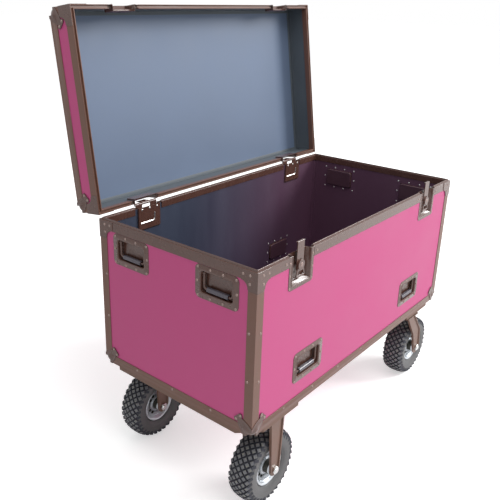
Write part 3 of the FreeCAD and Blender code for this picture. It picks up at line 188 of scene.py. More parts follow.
# Finishes
@dataclass(frozen=True)
class Finish:
    """A surface: colour, gloss, the size of its grain in millimetres and how strongly each shows."""

    name: str
    colour: str
    roughness: float = 0.5
    metallic: float = 0.0
    grain: float = 3.0
    grain_depth: float = 0.05
    cloud: float = 250.0
    cloud_shift: float = 0.06
    gloss_shift: float = 0.08
    second: str = ""
    second_share: float = 0.0
    stretch: tuple[float, float, float] = (1.0, 1.0, 1.0)
    coat: float = 0.0
    # A tint of painted light that the colour shifts to along X, and the span of that shift in millimetres.
    painted_light_tint: str = ""
    painted_light_span: tuple[float, float] = (0.0, 0.0)

    def make(self) -> bpy.types.Material:
        """Build the material: clouded colour, varied gloss and fine relief on Object coordinates.

        Returns:
            The material.
        """
        material = bpy.data.materials.new(self.name)
        material.use_nodes = True
        tree = material.node_tree
        tree.nodes.clear()
        where = wire(tree, "ShaderNodeTexCoord").outputs["Object"]
        where = wire(tree, "ShaderNodeMapping", {"Vector": where, "Scale": self.stretch}).outputs["Vector"]
        cloud = wire(tree, "ShaderNodeTexNoise", {
            "Vector": where, "Scale": 1.0 / (self.cloud * MM), "Detail": 4.0,
            "Roughness": 0.6}).outputs["Fac"]
        grain = wire(tree, "ShaderNodeTexNoise", {
            "Vector": where, "Scale": 1.0 / (self.grain * MM), "Detail": 3.0,
            "Roughness": 0.55}).outputs["Fac"]
        dark = tuple(c * (1 - self.cloud_shift * 2) for c in linear(self.colour)[:3]) + (1.0,)
        light = tuple(min(1.0, c * (1 + self.cloud_shift * 2)) for c in linear(self.colour)[:3]) + (1.0,)
        shade = wire(tree, "ShaderNodeMix", {"Factor": cloud, MIX_A: dark, MIX_B: light},
                     data_type="RGBA").outputs[MIX_RESULT]
        # Painted light: the colour shifts towards a lighter tint along X, standing in for light bounced in
        # there.
        if self.painted_light_tint:
            along = wire(tree, "ShaderNodeSeparateXYZ", {
                "Vector": wire(tree, "ShaderNodeTexCoord").outputs["Object"]}).outputs["X"]
            share = wire(tree, "ShaderNodeMapRange", {
                "Value": along, "From Min": self.painted_light_span[0] * MM, "From Max": self.painted_light_span[1] * MM},
                interpolation_type="SMOOTHSTEP").outputs["Result"]
            shade = wire(tree, "ShaderNodeMix", {
                "Factor": share, MIX_A: shade, MIX_B: linear(self.painted_light_tint)},
                data_type="RGBA").outputs[MIX_RESULT]
        if self.second:
            low = 1.0 - self.second_share
            share = wire(tree, "ShaderNodeMapRange", {
                "Value": grain, "From Min": low * 0.6 + 0.2, "From Max": low * 0.6 + 0.34}).outputs["Result"]
            shade = wire(tree, "ShaderNodeMix", {
                "Factor": share, MIX_A: shade, MIX_B: linear(self.second)},
                data_type="RGBA").outputs[MIX_RESULT]
        rough = wire(tree, "ShaderNodeMapRange", {
            "Value": cloud, "From Min": 0.3, "From Max": 0.7,
            "To Min": max(0.04, self.roughness - self.gloss_shift),
            "To Max": min(1.0, self.roughness + self.gloss_shift)}).outputs["Result"]
        relief = wire(tree, "ShaderNodeBump", {
            "Height": grain, "Strength": min(1.0, self.grain_depth * 4),
            "Distance": self.grain * MM * 0.25})
        shader = wire(tree, "ShaderNodeBsdfPrincipled", {
            "Base Color": shade, "Roughness": rough, "Metallic": self.metallic,
            "Normal": relief.outputs["Normal"], "Coat Weight": self.coat, "Coat Roughness": 0.15})
        wire(tree, "ShaderNodeOutputMaterial", {"Surface": shader.outputs["BSDF"]})
        return material


@dataclass(frozen=True)
class StudioFloor:
    """Pale seamless paper: it shows white to the eye and keeps a faint shadow."""

    name: str = "pale_studio_paper"
    colour: str = "#F4F4F4"
    lift: float = 0.5

    def make(self) -> bpy.types.Material:
        """Build the material: matt paper, lifted a little for what looks straight at it.

        Returns:
            The material.
        """
        material = bpy.data.materials.new(self.name)
        material.use_nodes = True
        tree = material.node_tree
        tree.nodes.clear()
        path = wire(tree, "ShaderNodeLightPath").outputs["Is Camera Ray"]
        lift = wire(tree, "ShaderNodeMath", {0: path, 1: self.lift}, operation="MULTIPLY").outputs["Value"]
        shader = wire(tree, "ShaderNodeBsdfPrincipled", {
            "Base Color": linear(self.colour), "Roughness": 0.9, "Emission Color": (1.0, 1.0, 1.0, 1.0),
            "Emission Strength": lift})
        wire(tree, "ShaderNodeOutputMaterial", {"Surface": shader.outputs["BSDF"]})
        return material


# Pink high-pressure laminate on plywood, pressed between satin plates: an even colour with a soft sheen.
PINK_LAMINATE = Finish("pink_laminate", "#B8437A", 0.5, grain=4.0, grain_depth=0.015, cloud=320,
                       cloud_shift=0.02, gloss_shift=0.05)
# Phenolic film on the inside of the same board: near black and blue, with painted light: towards the right end
# it shifts to a lighter plum that stands in for the pink light bounced in there and lifts the shade.
DARK_FILM = Finish("dark_phenolic_film", "#333A4C", 0.5, grain=7.0, grain_depth=0.02, cloud=110,
                   cloud_shift=0.12, gloss_shift=0.08, stretch=(1.0, 1.0, 0.12), painted_light_tint="#5B3C50",
                   painted_light_span=(-350.0, 620.0))
# The lid's lining is the same film as the body's, painted a paler blue grey: a painted reflection of the sky
# that it faces.
LID_FILM_PAINTED_SKY = Finish("lid_film_painted_sky_reflection", "#5F6E86", 0.5, grain=7.0, grain_depth=0.015, cloud=260,
                  cloud_shift=0.05, gloss_shift=0.06)
# The walls of the lid's lining are the same film, painted lighter than the body's and darker than the lid's
# top as painted light: they stand edge on to the window.
LID_WALL_FILM_PAINTED_LIGHT = Finish("lid_wall_film_painted_light", "#535A60", 0.5, grain=7.0, grain_depth=0.015, cloud=200,
                       cloud_shift=0.08, gloss_shift=0.06)
# Sawn edge of birch plywood, sealed dark.
PLY_EDGE = Finish("sealed_plywood_edge", "#4E3F38", 0.7, grain=2.0, grain_depth=0.1, stretch=(1.0, 1.0, 5.0))
# Aluminium extrusion in fine-texture bronze powder coat: satin, with the coat's orange peel.
BRONZE_EXTRUSION = Finish("bronze_coated_aluminium", "#694739", 0.42, grain=2.4, grain_depth=0.02, cloud=120,
                          cloud_shift=0.06, gloss_shift=0.06, coat=0.12)
# Pressed steel hardware in the same coat, glossier on its drawn slopes.
BRONZE_HARDWARE = Finish("bronze_coated_steel", "#563A32", 0.27, grain=2.0, grain_depth=0.015, cloud=40,
                         cloud_shift=0.08, gloss_shift=0.06, coat=0.4)
# The same coat where it faces the inside of the trunk, painted dark plum as painted shade of the trunk's
# inside.
BRONZE_PAINTED_SHADE = Finish("bronze_coat_painted_shade", "#4A2F3B", 0.5, grain=2.0, grain_depth=0.04, cloud=60,
                     cloud_shift=0.12)
# Rivet heads in the same coat, metallic, and painted lighter than the coat as painted highlight.
RIVET_COAT_PAINTED_HIGHLIGHT = Finish("coated_rivet_painted_highlight", "#94807A", 0.25, metallic=0.6, grain=1.5, grain_depth=0.02,
                      cloud=20, cloud_shift=0.1)
# Steel rivets: bare and bright where the sleeve shows. The hinges' inner lips take the same bright metal as a
# painted highlight.
BRIGHT_RIVET_AND_LIP_HIGHLIGHT = Finish("bright_rivet_steel_and_painted_lip_highlight", "#E4E1DE", 0.3, metallic=0.85, grain=1.5, grain_depth=0.02,
                      cloud=20, cloud_shift=0.05)
# Bright zinc on bolts and pins: cool white metal with faint spangle.
BRIGHT_ZINC = Finish("bright_zinc_plate", "#DDDFDE", 0.24, metallic=1.0, grain=3.0, grain_depth=0.02,
                     cloud=12, cloud_shift=0.06)
# Rim sprayed in silver lacquer: metal flake under a clear coat.
SILVER_LACQUER = Finish("silver_lacquered_steel", "#D5DBE1", 0.36, metallic=0.4, grain=1.6, grain_depth=0.02,
                        cloud=45, cloud_shift=0.06, coat=0.4)
# Dark grease and dust round the hub, and painted shade: the same dark finish on a disc behind the rim's
# windows stands in for the shade in the rim's well.
HUB_GRIME_AND_SHADE = Finish("hub_grease_and_painted_shade", "#3A3A34", 0.55, grain=2.0, grain_depth=0.08, cloud=25,
                   cloud_shift=0.2, second="#5B5648", second_share=0.4)
# Painted birch plywood of the castor boards.
PAINTED_BOARD = Finish("brown_painted_plywood", "#6B5043", 0.55, grain=5.0, grain_depth=0.08, cloud=80,
                       cloud_shift=0.08, stretch=(0.3, 1.0, 1.0))
# Welded castor steel in brown powder coat.
CASTOR_STEEL = Finish("brown_coated_castor_steel", "#6E5245", 0.42, grain=2.2, grain_depth=0.05, cloud=60,
                      cloud_shift=0.1, coat=0.1)
# Vulcanised rubber: black that has greyed, with dust in the pores.
TYRE_RUBBER = Finish("tyre_rubber", "#35363F", 0.62, grain=2.5, grain_depth=0.08, cloud=60, cloud_shift=0.12,
                     second="#45464E", second_share=0.35)
# Side walls of the tyre, painted a lighter grey than the tread as painted sheen, with patches of paler dust.
TYRE_WALL_DUST_AND_SHEEN = Finish("tyre_wall_dust_and_painted_sheen", "#5A5A5B", 0.5, grain=3.0, grain_depth=0.06, cloud=70,
                   cloud_shift=0.14, second="#6C6B68", second_share=0.35)
# The tops of the blocks carry dried dust.
TREAD_DUST = Finish("dusty_tread_rubber", "#6A6B70", 0.75, grain=6.0, grain_depth=0.1, cloud=30,
                    cloud_shift=0.2, second="#85847C", second_share=0.5)
# Moulded grip of soft black rubber.
GRIP_RUBBER = Finish("moulded_grip_rubber", "#4B4650", 0.3, grain=1.6, grain_depth=0.04, cloud=20,
                     cloud_shift=0.08, coat=0.3)


class Palette:
    """Makes each finish once and hands out its material."""

    def __init__(self) -> None:
        """Start with no materials."""
        self.made: dict[str, bpy.types.Material] = {}

    def __call__(self, finish: Finish | StudioFloor) -> bpy.types.Material:
        """The material of a finish."""
        if finish.name not in self.made:
            self.made[finish.name] = finish.make()
        return self.made[finish.name]


palette = Palette()


# Making pieces
def new_object(name: str, mesh: bpy.types.Mesh, *finishes: Finish) -> bpy.types.Object:
    """Link a mesh as an object at the origin with its finishes.

    Args:
        name: Name of the object.
        mesh: Its mesh.
        *finishes: The finish of each material slot, in order.

    Returns:
        The new object.
    """
    made = bpy.data.objects.new(name, mesh)
    bpy.context.scene.collection.objects.link(made)
    for finish in finishes:
        mesh.materials.append(palette(finish))
    return made


def mesh_of(name: str, work: bmesh.types.BMesh, smooth_below: float = SMOOTH_BELOW) -> bpy.types.Mesh:
    """Turn a working mesh into a mesh whose shallow edges are shaded smooth.

    Args:
        name: Name of the mesh.
        work: The working mesh, which is freed.
        smooth_below: Edges shallower than this many degrees are shaded smooth.

    Returns:
        The mesh.
    """
    mesh = bpy.data.meshes.new(name)
    work.to_mesh(mesh)
    work.free()
    mesh.shade_smooth()
    mesh.set_sharp_from_angle(angle=math.radians(smooth_below))
    return mesh


def hand_over(piece: bpy.types.Object, body: str, slot: str, *nodes: str) -> bpy.types.Object:
    """Let a piece ride on its body, hide the nodes it stands for, and report it.

    Args:
        piece: The finished piece.
        body: The body that it rides on.
        slot: Not used.
        *nodes: The CAD nodes that it replaces.

    Returns:
        The piece.
    """
    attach(piece, body)
    if nodes:
        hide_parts(*nodes)
    log.info("%s rides on %s with %d faces", piece.name, body, len(piece.data.polygons))
    return piece


def merged(node: str) -> bmesh.types.BMesh:
    """A working copy of a node's mesh with its doubles merged and its flat faces joined.

    Args:
        node: Name of the node.

    Returns:
        The working mesh, in the frame.
    """
    work = bmesh.new()
    work.from_mesh(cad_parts[node].data)
    bmesh.ops.remove_doubles(work, verts=work.verts, dist=MERGE_DISTANCE)
    bmesh.ops.dissolve_limit(work, angle_limit=math.radians(0.6), verts=work.verts, edges=work.edges)
    return work


def eased(work: bmesh.types.BMesh, width: float, above: float = 40.0, segments: int = 1) -> None:
    """Round the sharp edges of a working mesh.

    Args:
        work: The mesh to change.
        width: Width of the rounding in millimetres.
        above: Edges sharper than this many degrees are rounded.
        segments: Faces across the rounding.
    """
    sharp = [edge for edge in work.edges
             if len(edge.link_faces) == 2 and edge.calc_face_angle(0.0) > math.radians(above)]
    bmesh.ops.bevel(work, geom=sharp, offset=width * MM, segments=segments, profile=0.5, affect="EDGES",
                    clamp_overlap=True, loop_slide=True)


def eased_copy(node: str, body: str, slot: str, finish: Finish, width: float,
               second: Finish | None = None,
               has_second: Callable[[bmesh.types.BMFace], bool] | None = None) -> bpy.types.Object:
    """A copy of a node with rounded edges, in its place and finish.

    Args:
        node: The node that is copied and replaced.
        body: The body it rides on.
        slot: Passed on to hand_over, which does not use it.
        finish: Its finish.
        width: Width of the rounding in millimetres.
        second: Finish of the faces that has_second picks.
        has_second: Says whether a face has the second finish.

    Returns:
        The copy.
    """
    work = merged(node)
    eased(work, width)
    finishes = [finish]
    if second is not None and has_second is not None:
        work.normal_update()
        finishes.append(second)
        for face in work.faces:
            face.material_index = 1 if has_second(face) else 0
    made = new_object(node + "_finished", mesh_of(node + "_finished", work), *finishes)
    return hand_over(made, body, slot, node)


# Heads and blocks that repeat
class Head(Enum):
    """The shapes that a scatter can set out."""

    DOME = "dome"
    PRISM = "prism"
    BLOCK = "block"


@dataclass
class Spot:
    """Where one copy stands: its place, the way it faces and the way its length runs, in the frame."""

    place: Vector
    facing: Vector
    along: Vector


@dataclass
class Scatter:
    """A Geometry Nodes tree that sets out copies of one small shape."""

    name: str
    head: Head
    length: float
    width: float
    height: float
    sides: int = 12
    taper: float = 0.8
    turn: float = 0.0
    smooth_below: float = 32

    def tree(self, body_finish: Finish,
             top_finish: Finish | None) -> tuple[bpy.types.NodeTree, dict[str, str]]:
        """Build the tree.

        Args:
            body_finish: Finish of the whole copy.
            top_finish: Finish of a prism's top, if it has one of its own.

        Returns:
            The tree, and the identifiers of its inputs by name.
        """
        tree = bpy.data.node_groups.new(self.name, "GeometryNodeTree")
        ids = {}
        for label, kind in (("Geometry", "Geometry"), ("Length", "Float"), ("Width", "Float"),
                            ("Height", "Float"), ("Taper", "Float"), ("Sides", "Int"), ("Turn", "Float")):
            ids[label] = tree.interface.new_socket(
                name=label, in_out="INPUT", socket_type="NodeSocket" + kind).identifier
        tree.interface.new_socket(name="Geometry", in_out="OUTPUT", socket_type="NodeSocketGeometry")
        given = wire(tree, "NodeGroupInput").outputs
        top = None
        if self.head is Head.DOME:
            shape = wire(tree, "GeometryNodeMeshUVSphere", {
                "Segments": given["Sides"], "Rings": 8, "Radius": 1.0})
        elif self.head is Head.PRISM:
            shape = wire(tree, "GeometryNodeMeshCone", {
                "Vertices": given["Sides"], "Radius Top": given["Taper"], "Radius Bottom": 1.0, "Depth": 1.0})
            top = shape.outputs["Top"]
        else:
            shape = wire(tree, "GeometryNodeMeshCube", {"Size": (2.0, 2.0, 1.0)})
        solid = shape.outputs["Mesh"]
        solid = wire(tree, "GeometryNodeSetMaterial", {
            "Geometry": solid, "Material": palette(body_finish)}).outputs["Geometry"]
        if top is not None and top_finish is not None:
            solid = wire(tree, "GeometryNodeSetMaterial", {
                "Geometry": solid, "Selection": top, "Material": palette(top_finish)}).outputs["Geometry"]
        facing = wire(tree, "GeometryNodeInputNamedAttribute", {"Name": "facing"}, data_type="FLOAT_VECTOR")
        along = wire(tree, "GeometryNodeInputNamedAttribute", {"Name": "along"}, data_type="FLOAT_VECTOR")
        stand = wire(tree, "FunctionNodeAlignRotationToVector", {
            "Vector": facing.outputs["Attribute"]}, axis="Z", pivot_axis="AUTO").outputs["Rotation"]
        stand = wire(tree, "FunctionNodeAlignRotationToVector", {
            "Rotation": stand, "Vector": along.outputs["Attribute"]}, axis="X",
            pivot_axis="Z").outputs["Rotation"]
        spin = wire(tree, "ShaderNodeCombineXYZ", {"Z": given["Turn"]}).outputs["Vector"]
        spin = wire(tree, "FunctionNodeEulerToRotation", {"Euler": spin}).outputs["Rotation"]
        stand = wire(tree, "FunctionNodeRotateRotation", {
            "Rotation": stand, "Rotate By": spin}, rotation_space="LOCAL").outputs["Rotation"]
        size = wire(tree, "ShaderNodeCombineXYZ", {
            "X": given["Length"], "Y": given["Width"], "Z": given["Height"]}).outputs["Vector"]
        copies = wire(tree, "GeometryNodeInstanceOnPoints", {
            "Points": given["Geometry"], "Instance": solid, "Rotation": stand, "Scale": size})
        real = wire(tree, "GeometryNodeRealizeInstances", {"Geometry": copies.outputs["Instances"]})
        wire(tree, "NodeGroupOutput", {"Geometry": real.outputs["Geometry"]})
        return tree, ids

    def build(self, name: str, spots: Sequence[Spot], finish: Finish,
              top_finish: Finish | None = None) -> bpy.types.Object:
        """Set out the copies.

        Args:
            name: Name of the piece.
            spots: Where the copies stand.
            finish: Finish of the copies.
            top_finish: Finish of a prism's top, if it has one of its own.

        Returns:
            The piece, as one plain mesh.
        """
        mesh = bpy.data.meshes.new(name + "_spots")
        mesh.from_pydata([tuple(spot.place) for spot in spots], [], [])
        for label in ("facing", "along"):
            layer = mesh.attributes.new(label, "FLOAT_VECTOR", "POINT")
            layer.data.foreach_set("vector", [c for spot in spots for c in getattr(spot, label)])
        holder = bpy.data.objects.new(name + "_spots", mesh)
        bpy.context.scene.collection.objects.link(holder)
        tree, ids = self.tree(finish, top_finish)
        modifier = holder.modifiers.new("set_out", "NODES")
        modifier.node_group = tree
        for label, value in (("Length", self.length * MM), ("Width", self.width * MM),
                             ("Height", self.height * MM), ("Taper", self.taper), ("Sides", self.sides),
                             ("Turn", math.radians(self.turn))):
            modifier[ids[label]] = value
        bpy.context.view_layer.update()
        evaluated = holder.evaluated_get(bpy.context.evaluated_depsgraph_get())
        plain = bpy.data.meshes.new_from_object(evaluated)
        bpy.data.objects.remove(holder)
        plain.name = name
        plain.shade_smooth()
        plain.set_sharp_from_angle(angle=math.radians(self.smooth_below))
        made = bpy.data.objects.new(name, plain)
        bpy.context.scene.collection.objects.link(made)
        return made


def spot_at(place: Matrix, x: float, y: float, out: float = 0.0) -> Spot:
    """A spot on a flat placement, in millimetres, facing the placement's +Z."""
    turn = place.to_3x3().normalized()
    return Spot(place @ Vector((x, y, out)), turn @ Vector((0, 0, 1)), turn @ Vector((1, 0, 0)))


# Pressed dishes
def rounded_ring(half_x: float, half_y: float, radius: float, level: float, steps: int = 6) -> Ring:
    """A rounded rectangle at one level, counter-clockwise from its right side.

    Args:
        half_x: Half its width.
        half_y: Half its height.
        radius: Radius of its corners.
        level: Height of the ring.
        steps: Edges round each corner.

    Returns:
        The points of the ring.
    """
    radius = max(0.05, min(radius, half_x, half_y))
    points = []
    for corner, (sign_x, sign_y) in enumerate(((1, 1), (-1, 1), (-1, -1), (1, -1))):
        for step in range(steps + 1):
            turn = math.radians(90 * corner + 90 * step / steps)
            points.append(Vector((sign_x * (half_x - radius) + radius * math.cos(turn),
                                  sign_y * (half_y - radius) + radius * math.sin(turn), level)))
    return points


def lofted(rings: Sequence[Ring], closed: bool = False) -> bmesh.types.BMesh:
    """A skin over rings of equal count, capped at both ends unless it closes on itself.

    Args:
        rings: The rings, in order.
        closed: Whether the last ring joins the first.

    Returns:
        The skin, with its faces outwards.
    """
    work = bmesh.new()
    rows = [[work.verts.new(point) for point in ring] for ring in rings]
    pairs = list(zip(rows, rows[1:] + rows[:1] if closed else rows[1:]))
    for lower, upper in pairs:
        count = len(lower)
        for i in range(count):
            j = (i + 1) % count
            work.faces.new((lower[i], lower[j], upper[j], upper[i]))
    if not closed:
        work.faces.new(rows[0])
        work.faces.new(rows[-1])
    bmesh.ops.recalc_face_normals(work, faces=work.faces)
    return work


@dataclass(frozen=True)
class PressedDish:
    """A steel dish: a flange with a rolled bead round a cup, drawn in XY with its flange facing +Z."""

    wide: float
    high: float
    corner: float
    cup_wide: float
    cup_high: float
    cup_deep: float
    face: float = -0.4
    sheet: float = 1.2
    bead: float = 1.3
    bead_wide: float = 5.0
    foot_slope: float = 0.0
    cup_corner: float = 8.0

    def rings(self) -> list[Ring]:
        """The dish's section as rings, from the middle of the cup floor round to the back of the floor."""
        x, y = self.cup_wide / 2, self.cup_high / 2
        mouth_y = y + self.foot_slope
        front, back = self.face, self.face - self.cup_deep
        b, w, c = self.bead, self.bead_wide, self.cup_corner
        flange_x, flange_y = self.wide / 2, self.high / 2
        section = [
            (x - 4.5, y - 4.5, c - 3, back), (x - 1.4, y - 1.4, c - 1, back + 0.9), (x, y, c, back + 3.2),
            (x, mouth_y, c, front - 2.2), (x + 0.4, mouth_y + 0.4, c + 0.5, front - 0.5),
            (x + 2.6, mouth_y + 2.6, c + 2.6, front + b), (x + 3.6, mouth_y + 3.6, c + 3.6, front + b + 0.2),
            (x + w, mouth_y + w, c + 5, front + b * 0.6), (x + w + 1.6, mouth_y + w + 1.6, c + 6.5, front),
            (flange_x - 1.2, flange_y - 1.2, self.corner - 1.2, front),
            (flange_x - 0.3, flange_y - 0.3, self.corner - 0.3, front - 0.35),
            (flange_x, flange_y, self.corner, front - 1.1),
            (flange_x, flange_y, self.corner, front - self.sheet),
            (x + self.sheet, mouth_y + self.sheet, c + 1, front - self.sheet - 0.4),
            (x + self.sheet, y + self.sheet, c + 1, back + 1), (x - 1, y - 1, c - 1, back - self.sheet),
        ]
        return [rounded_ring(*entry) for entry in section]

    def shape(self) -> bmesh.types.BMesh:
        """The whole dish as a closed shell, its back, which faces into the trunk, in the second finish, which
        is painted shade.
        """
        work = lofted(self.rings())
        for face in work.faces:
            face.material_index = 1 if face.normal.z < -0.2 else 0
        return work


@dataclass(frozen=True)
class MouthBead:
    """A half-round bead pressed round the mouth of a cup that is open at the parting line."""

    half: float
    foot: float
    level: float = -0.6
    corner: float = 9.0
    upwards: bool = False
    steps: int = 6

    def path(self) -> list[tuple[Vector, Vector]]:
        """The bead's line in XY and the way across it at each point, from one side down and up the other."""
        way = 1.0 if self.upwards else -1.0
        line = [(Vector((self.half, way * 0.6, 0)), Vector((1, 0, 0)))]
        for sign in (1, -1):
            middle = Vector((sign * (self.half - self.corner), way * (self.foot - self.corner), 0))
            turns = range(self.steps + 1) if sign > 0 else range(self.steps, -1, -1)
            for step in turns:
                turn = math.radians(90 * step / self.steps)
                across = Vector((sign * math.cos(turn), way * math.sin(turn), 0))
                line.append((middle + across * self.corner, across))
        line.append((Vector((-self.half, way * 0.6, 0)), Vector((-1, 0, 0))))
        return line

    def shape(self) -> bmesh.types.BMesh:
        """The bead as a closed solid."""
        return pressed_bar(self.path(), self.level)


# Half a pressed bead, as distance outwards and height above the sheet; the other half mirrors it.
HALF_BEAD = ((3.1, 0.0), (2.6, 0.25), (1.0, 1.5), (0.5, 1.75))
BEAD_SECTION = HALF_BEAD + tuple((-out, up) for out, up in reversed(HALF_BEAD))


def pressed_bar(path: Sequence[tuple[Vector, Vector]], level: float) -> bmesh.types.BMesh:
    """A pressed bead along a line in XY, with flat flanks between rounded corners.

    Args:
        path: Points of the line and the way across it at each.
        level: Height of the sheet that it is pressed from.

    Returns:
        The bead as a closed solid.
    """
    return lofted([[point + across * out + Vector((0, 0, level + up)) for out, up in BEAD_SECTION]
                   for point, across in path])


def foot_fillet(half: float, foot: float, back: float, slope: float, radius: float = 3.2,
                steps: int = 5) -> bmesh.types.BMesh:
    """The rounded hollow between a cup's floor and its sloping foot.

    Args:
        half: Half the width of the cup.
        foot: Distance from the parting line down to where the slope meets the floor.
        back: Level of the cup's floor.
        slope: How far the foot slopes from floor to mouth.
        radius: How far the hollow reaches along the floor and up the slope.
        steps: Faces across the hollow.

    Returns:
        The fillet as a closed solid.
    """
    corner = Vector((0, -foot, back))
    floor_end = corner + Vector((0, radius, 0.02))
    slope_end = corner + Vector((0, -slope, -back)).normalized() * radius
    line = []
    for step in range(steps + 1):
        share = step / steps
        line.append(floor_end * (1 - share) ** 2 + corner * 2 * share * (1 - share) + slope_end * share ** 2)
    section = line + [corner + Vector((0, -0.3, -0.3))]
    return lofted([[point + Vector((x, 0, 0)) for point in section] for x in (-half, half)])


def join_all(name: str, works: Sequence[tuple[bmesh.types.BMesh, Matrix]],
             smooth_below: float = 30.0) -> bpy.types.Mesh:
    """Put several working meshes, each in its place, into one mesh.

    Args:
        name: Name of the mesh.
        works: Working meshes, which are freed, and the place of each.
        smooth_below: Edges shallower than this many degrees are shaded smooth.

    Returns:
        The mesh.
    """
    whole = bmesh.new()
    for work, place in works:
        work.transform(place)
        part = bpy.data.meshes.new("part")
        work.to_mesh(part)
        work.free()
        whole.from_mesh(part)
        bpy.data.meshes.remove(part)
    return mesh_of(name, whole, smooth_below)


# Sub-assemblies
@dataclass
class Panels:
    """The laminated boards: pink outside, dark film inside, sealed edges."""

    trunk: Trunk
    square_on: float = 0.7

    def side(self, out: float) -> int:
        """The slot of a face by how far it points outwards: outer side, inner side or sawn edge."""
        return 0 if out > self.square_on else 1 if out < -self.square_on else 2

    def dress(self, node: str, body: str, outward: Callable[[Vector], float], inside: Finish) -> None:
        """Copy a board and give each face the finish of its side.

        Args:
            node: The board's node.
            body: The body it rides on.
            outward: Says how far a direction points out of the trunk.
            inside: Finish of the inner side.
        """
        work = merged(node)
        for face in work.faces:
            face.material_index = self.side(outward(face.normal))
        mesh = mesh_of(node + "_board", work)
        board = new_object(node + "_board", mesh, PINK_LAMINATE, inside, PLY_EDGE)
        hand_over(board, body, "panel_laminate", node)

    def build(self) -> None:
        """Dress the body's boards and the lid's."""
        opened = self.trunk.opened().to_3x3()
        for node, direction in (("front_panel", (0, -1, 0)), ("back_panel", (0, 1, 0)),
                                ("left_end_panel", (-1, 0, 0)), ("right_end_panel", (1, 0, 0)),
                                ("base_panel", (0, 0, -1))):
            self.dress(node, "root", lambda n, d=Vector(direction): n @ d, DARK_FILM)
        # The lid's films are the body's film painted paler, as painted light.
        for node, direction, film in (("lid_top_panel", (0, 0, 1), LID_FILM_PAINTED_SKY),
                                      ("lid_front_panel", (0, -1, 0), LID_WALL_FILM_PAINTED_LIGHT),
                                      ("lid_back_panel", (0, 1, 0), LID_WALL_FILM_PAINTED_LIGHT)):
            self.dress(node, "lid", lambda n, d=opened @ Vector(direction): n @ d, film)
        self.dress_ends()

    def dress_ends(self) -> None:
        """Dress the lid's two end boards, which share a node."""
        work = merged("lid_end_panels")
        middle = self.trunk.centre.x
        for face in work.faces:
            face.material_index = self.side(
                face.normal.x * math.copysign(1.0, face.calc_center_median().x - middle))
        board = new_object("lid_end_boards", mesh_of("lid_end_boards", work), PINK_LAMINATE,
                           LID_WALL_FILM_PAINTED_LIGHT, PLY_EDGE)
        hand_over(board, "lid", "panel_laminate", "lid_end_panels")


@dataclass
class Edging:
    """Extrusions and corner hardware, with their edges eased as drawn and coated metal has them."""

    trunk: Trunk
    extrusion_ease: float = 0.55
    plate_ease: float = 0.45
    inner_depth: float = 10.5
    tongue_high: float = 5.0
    tongue_ease: float = 1.5
    tongue_depth: float = 6.6
    tongue_slack: float = 0.2
    shortest_edge: float = 20
    rail_ease: float = 0.3
    board_ease: float = 1.0

    def finish_tongue(self) -> None:
        """Finish the body's rim, whose tongue has a wide chamfer on its outer edge that catches the light."""
        work = merged("rim_tongue_rails")
        level = (self.trunk.rim + self.tongue_high - self.tongue_slack) * MM
        outer = []
        for edge in work.edges:
            low = min(vert.co.z for vert in edge.verts)
            depth = self.trunk.depth((edge.verts[0].co + edge.verts[1].co) / 2, False)
            if low > level and depth < self.tongue_depth and edge.calc_length() > self.shortest_edge * MM:
                outer.append(edge)
        bmesh.ops.bevel(work, geom=outer, offset=self.tongue_ease * MM, segments=2, profile=0.5,
                        affect="EDGES", clamp_overlap=True, loop_slide=True)
        eased(work, self.rail_ease, 60.0)
        name = "rim_tongue_rails_finished"
        made = new_object(name, mesh_of(name, work), BRONZE_HARDWARE)
        hand_over(made, "root", "extrusion", "rim_tongue_rails")

    def build(self) -> None:
        """Finish each extrusion and corner piece; the inner legs of the edges lie under the lining's film."""
        self.finish_tongue()
        eased_copy("lid_rim_groove_rails", "lid", "extrusion", BRONZE_EXTRUSION, self.extrusion_ease)
        for node, body, film in (("body_edge_angles", "root", DARK_FILM),
                                 ("lid_edge_angles", "lid", LID_WALL_FILM_PAINTED_LIGHT)):
            eased_copy(node, body, "extrusion", BRONZE_EXTRUSION, self.extrusion_ease, film,
                       lambda face, lid=(body == "lid"): self.trunk.depth(face.calc_center_median(), lid)
                       > self.inner_depth)
        for node, body in (("body_corner_caps", "root"), ("lid_corner_caps", "lid")):
            eased_copy(node, body, "hardware", BRONZE_HARDWARE, self.plate_ease)
        eased_copy("castor_boards", "root", "castor_board", PAINTED_BOARD, self.board_ease)


@dataclass
class Handles:
    """Eight recessed spring handles: pressed dishes, bails and rubber grips."""

    trunk: Trunk
    end_out: float = 169.0
    end_up: float = -81.0
    side_out: float = 335.0
    side_above_foot: float = 128.0
    dish: PressedDish = PressedDish(154, 100, 16, 113, 63, 17)

    def centres(self, wall: Wall) -> list[Point]:
        """The middles of a wall's two handles.

        Args:
            wall: The wall they are on.

        Returns:
            For each, its distance along the wall and its height above the parting line.
        """
        out, up = self.end_out, self.end_up
        if wall in LONG_WALLS:
            out, up = self.side_out, self.side_above_foot - self.trunk.body_high
        return [(-out, up), (out, up)]

    def build(self) -> None:
        """Press the dishes and finish the bails and grips."""
        for walls, name in ((END_WALLS, "end_handle_dishes"), (LONG_WALLS, "side_handle_dishes")):
            works = []
            for wall in walls:
                for along, up in self.centres(wall):
                    works.append((self.dish.shape(), self.trunk.on_wall(wall, along, up)))
            mesh = join_all(name + "_pressed", works)
            made = new_object(name + "_pressed", mesh, BRONZE_HARDWARE, BRONZE_PAINTED_SHADE)
            hand_over(made, "root", "hardware", name)
        for wall in ("left", "right", "front", "back"):
            for letter in "ab":
                body = "%s_handle_%s" % (wall, letter)
                eased_copy(body + "_bail", body, "hardware", BRONZE_HARDWARE, 0.3)
                eased_copy(body + "_grip", body, "grip_rubber", GRIP_RUBBER, 0.8)


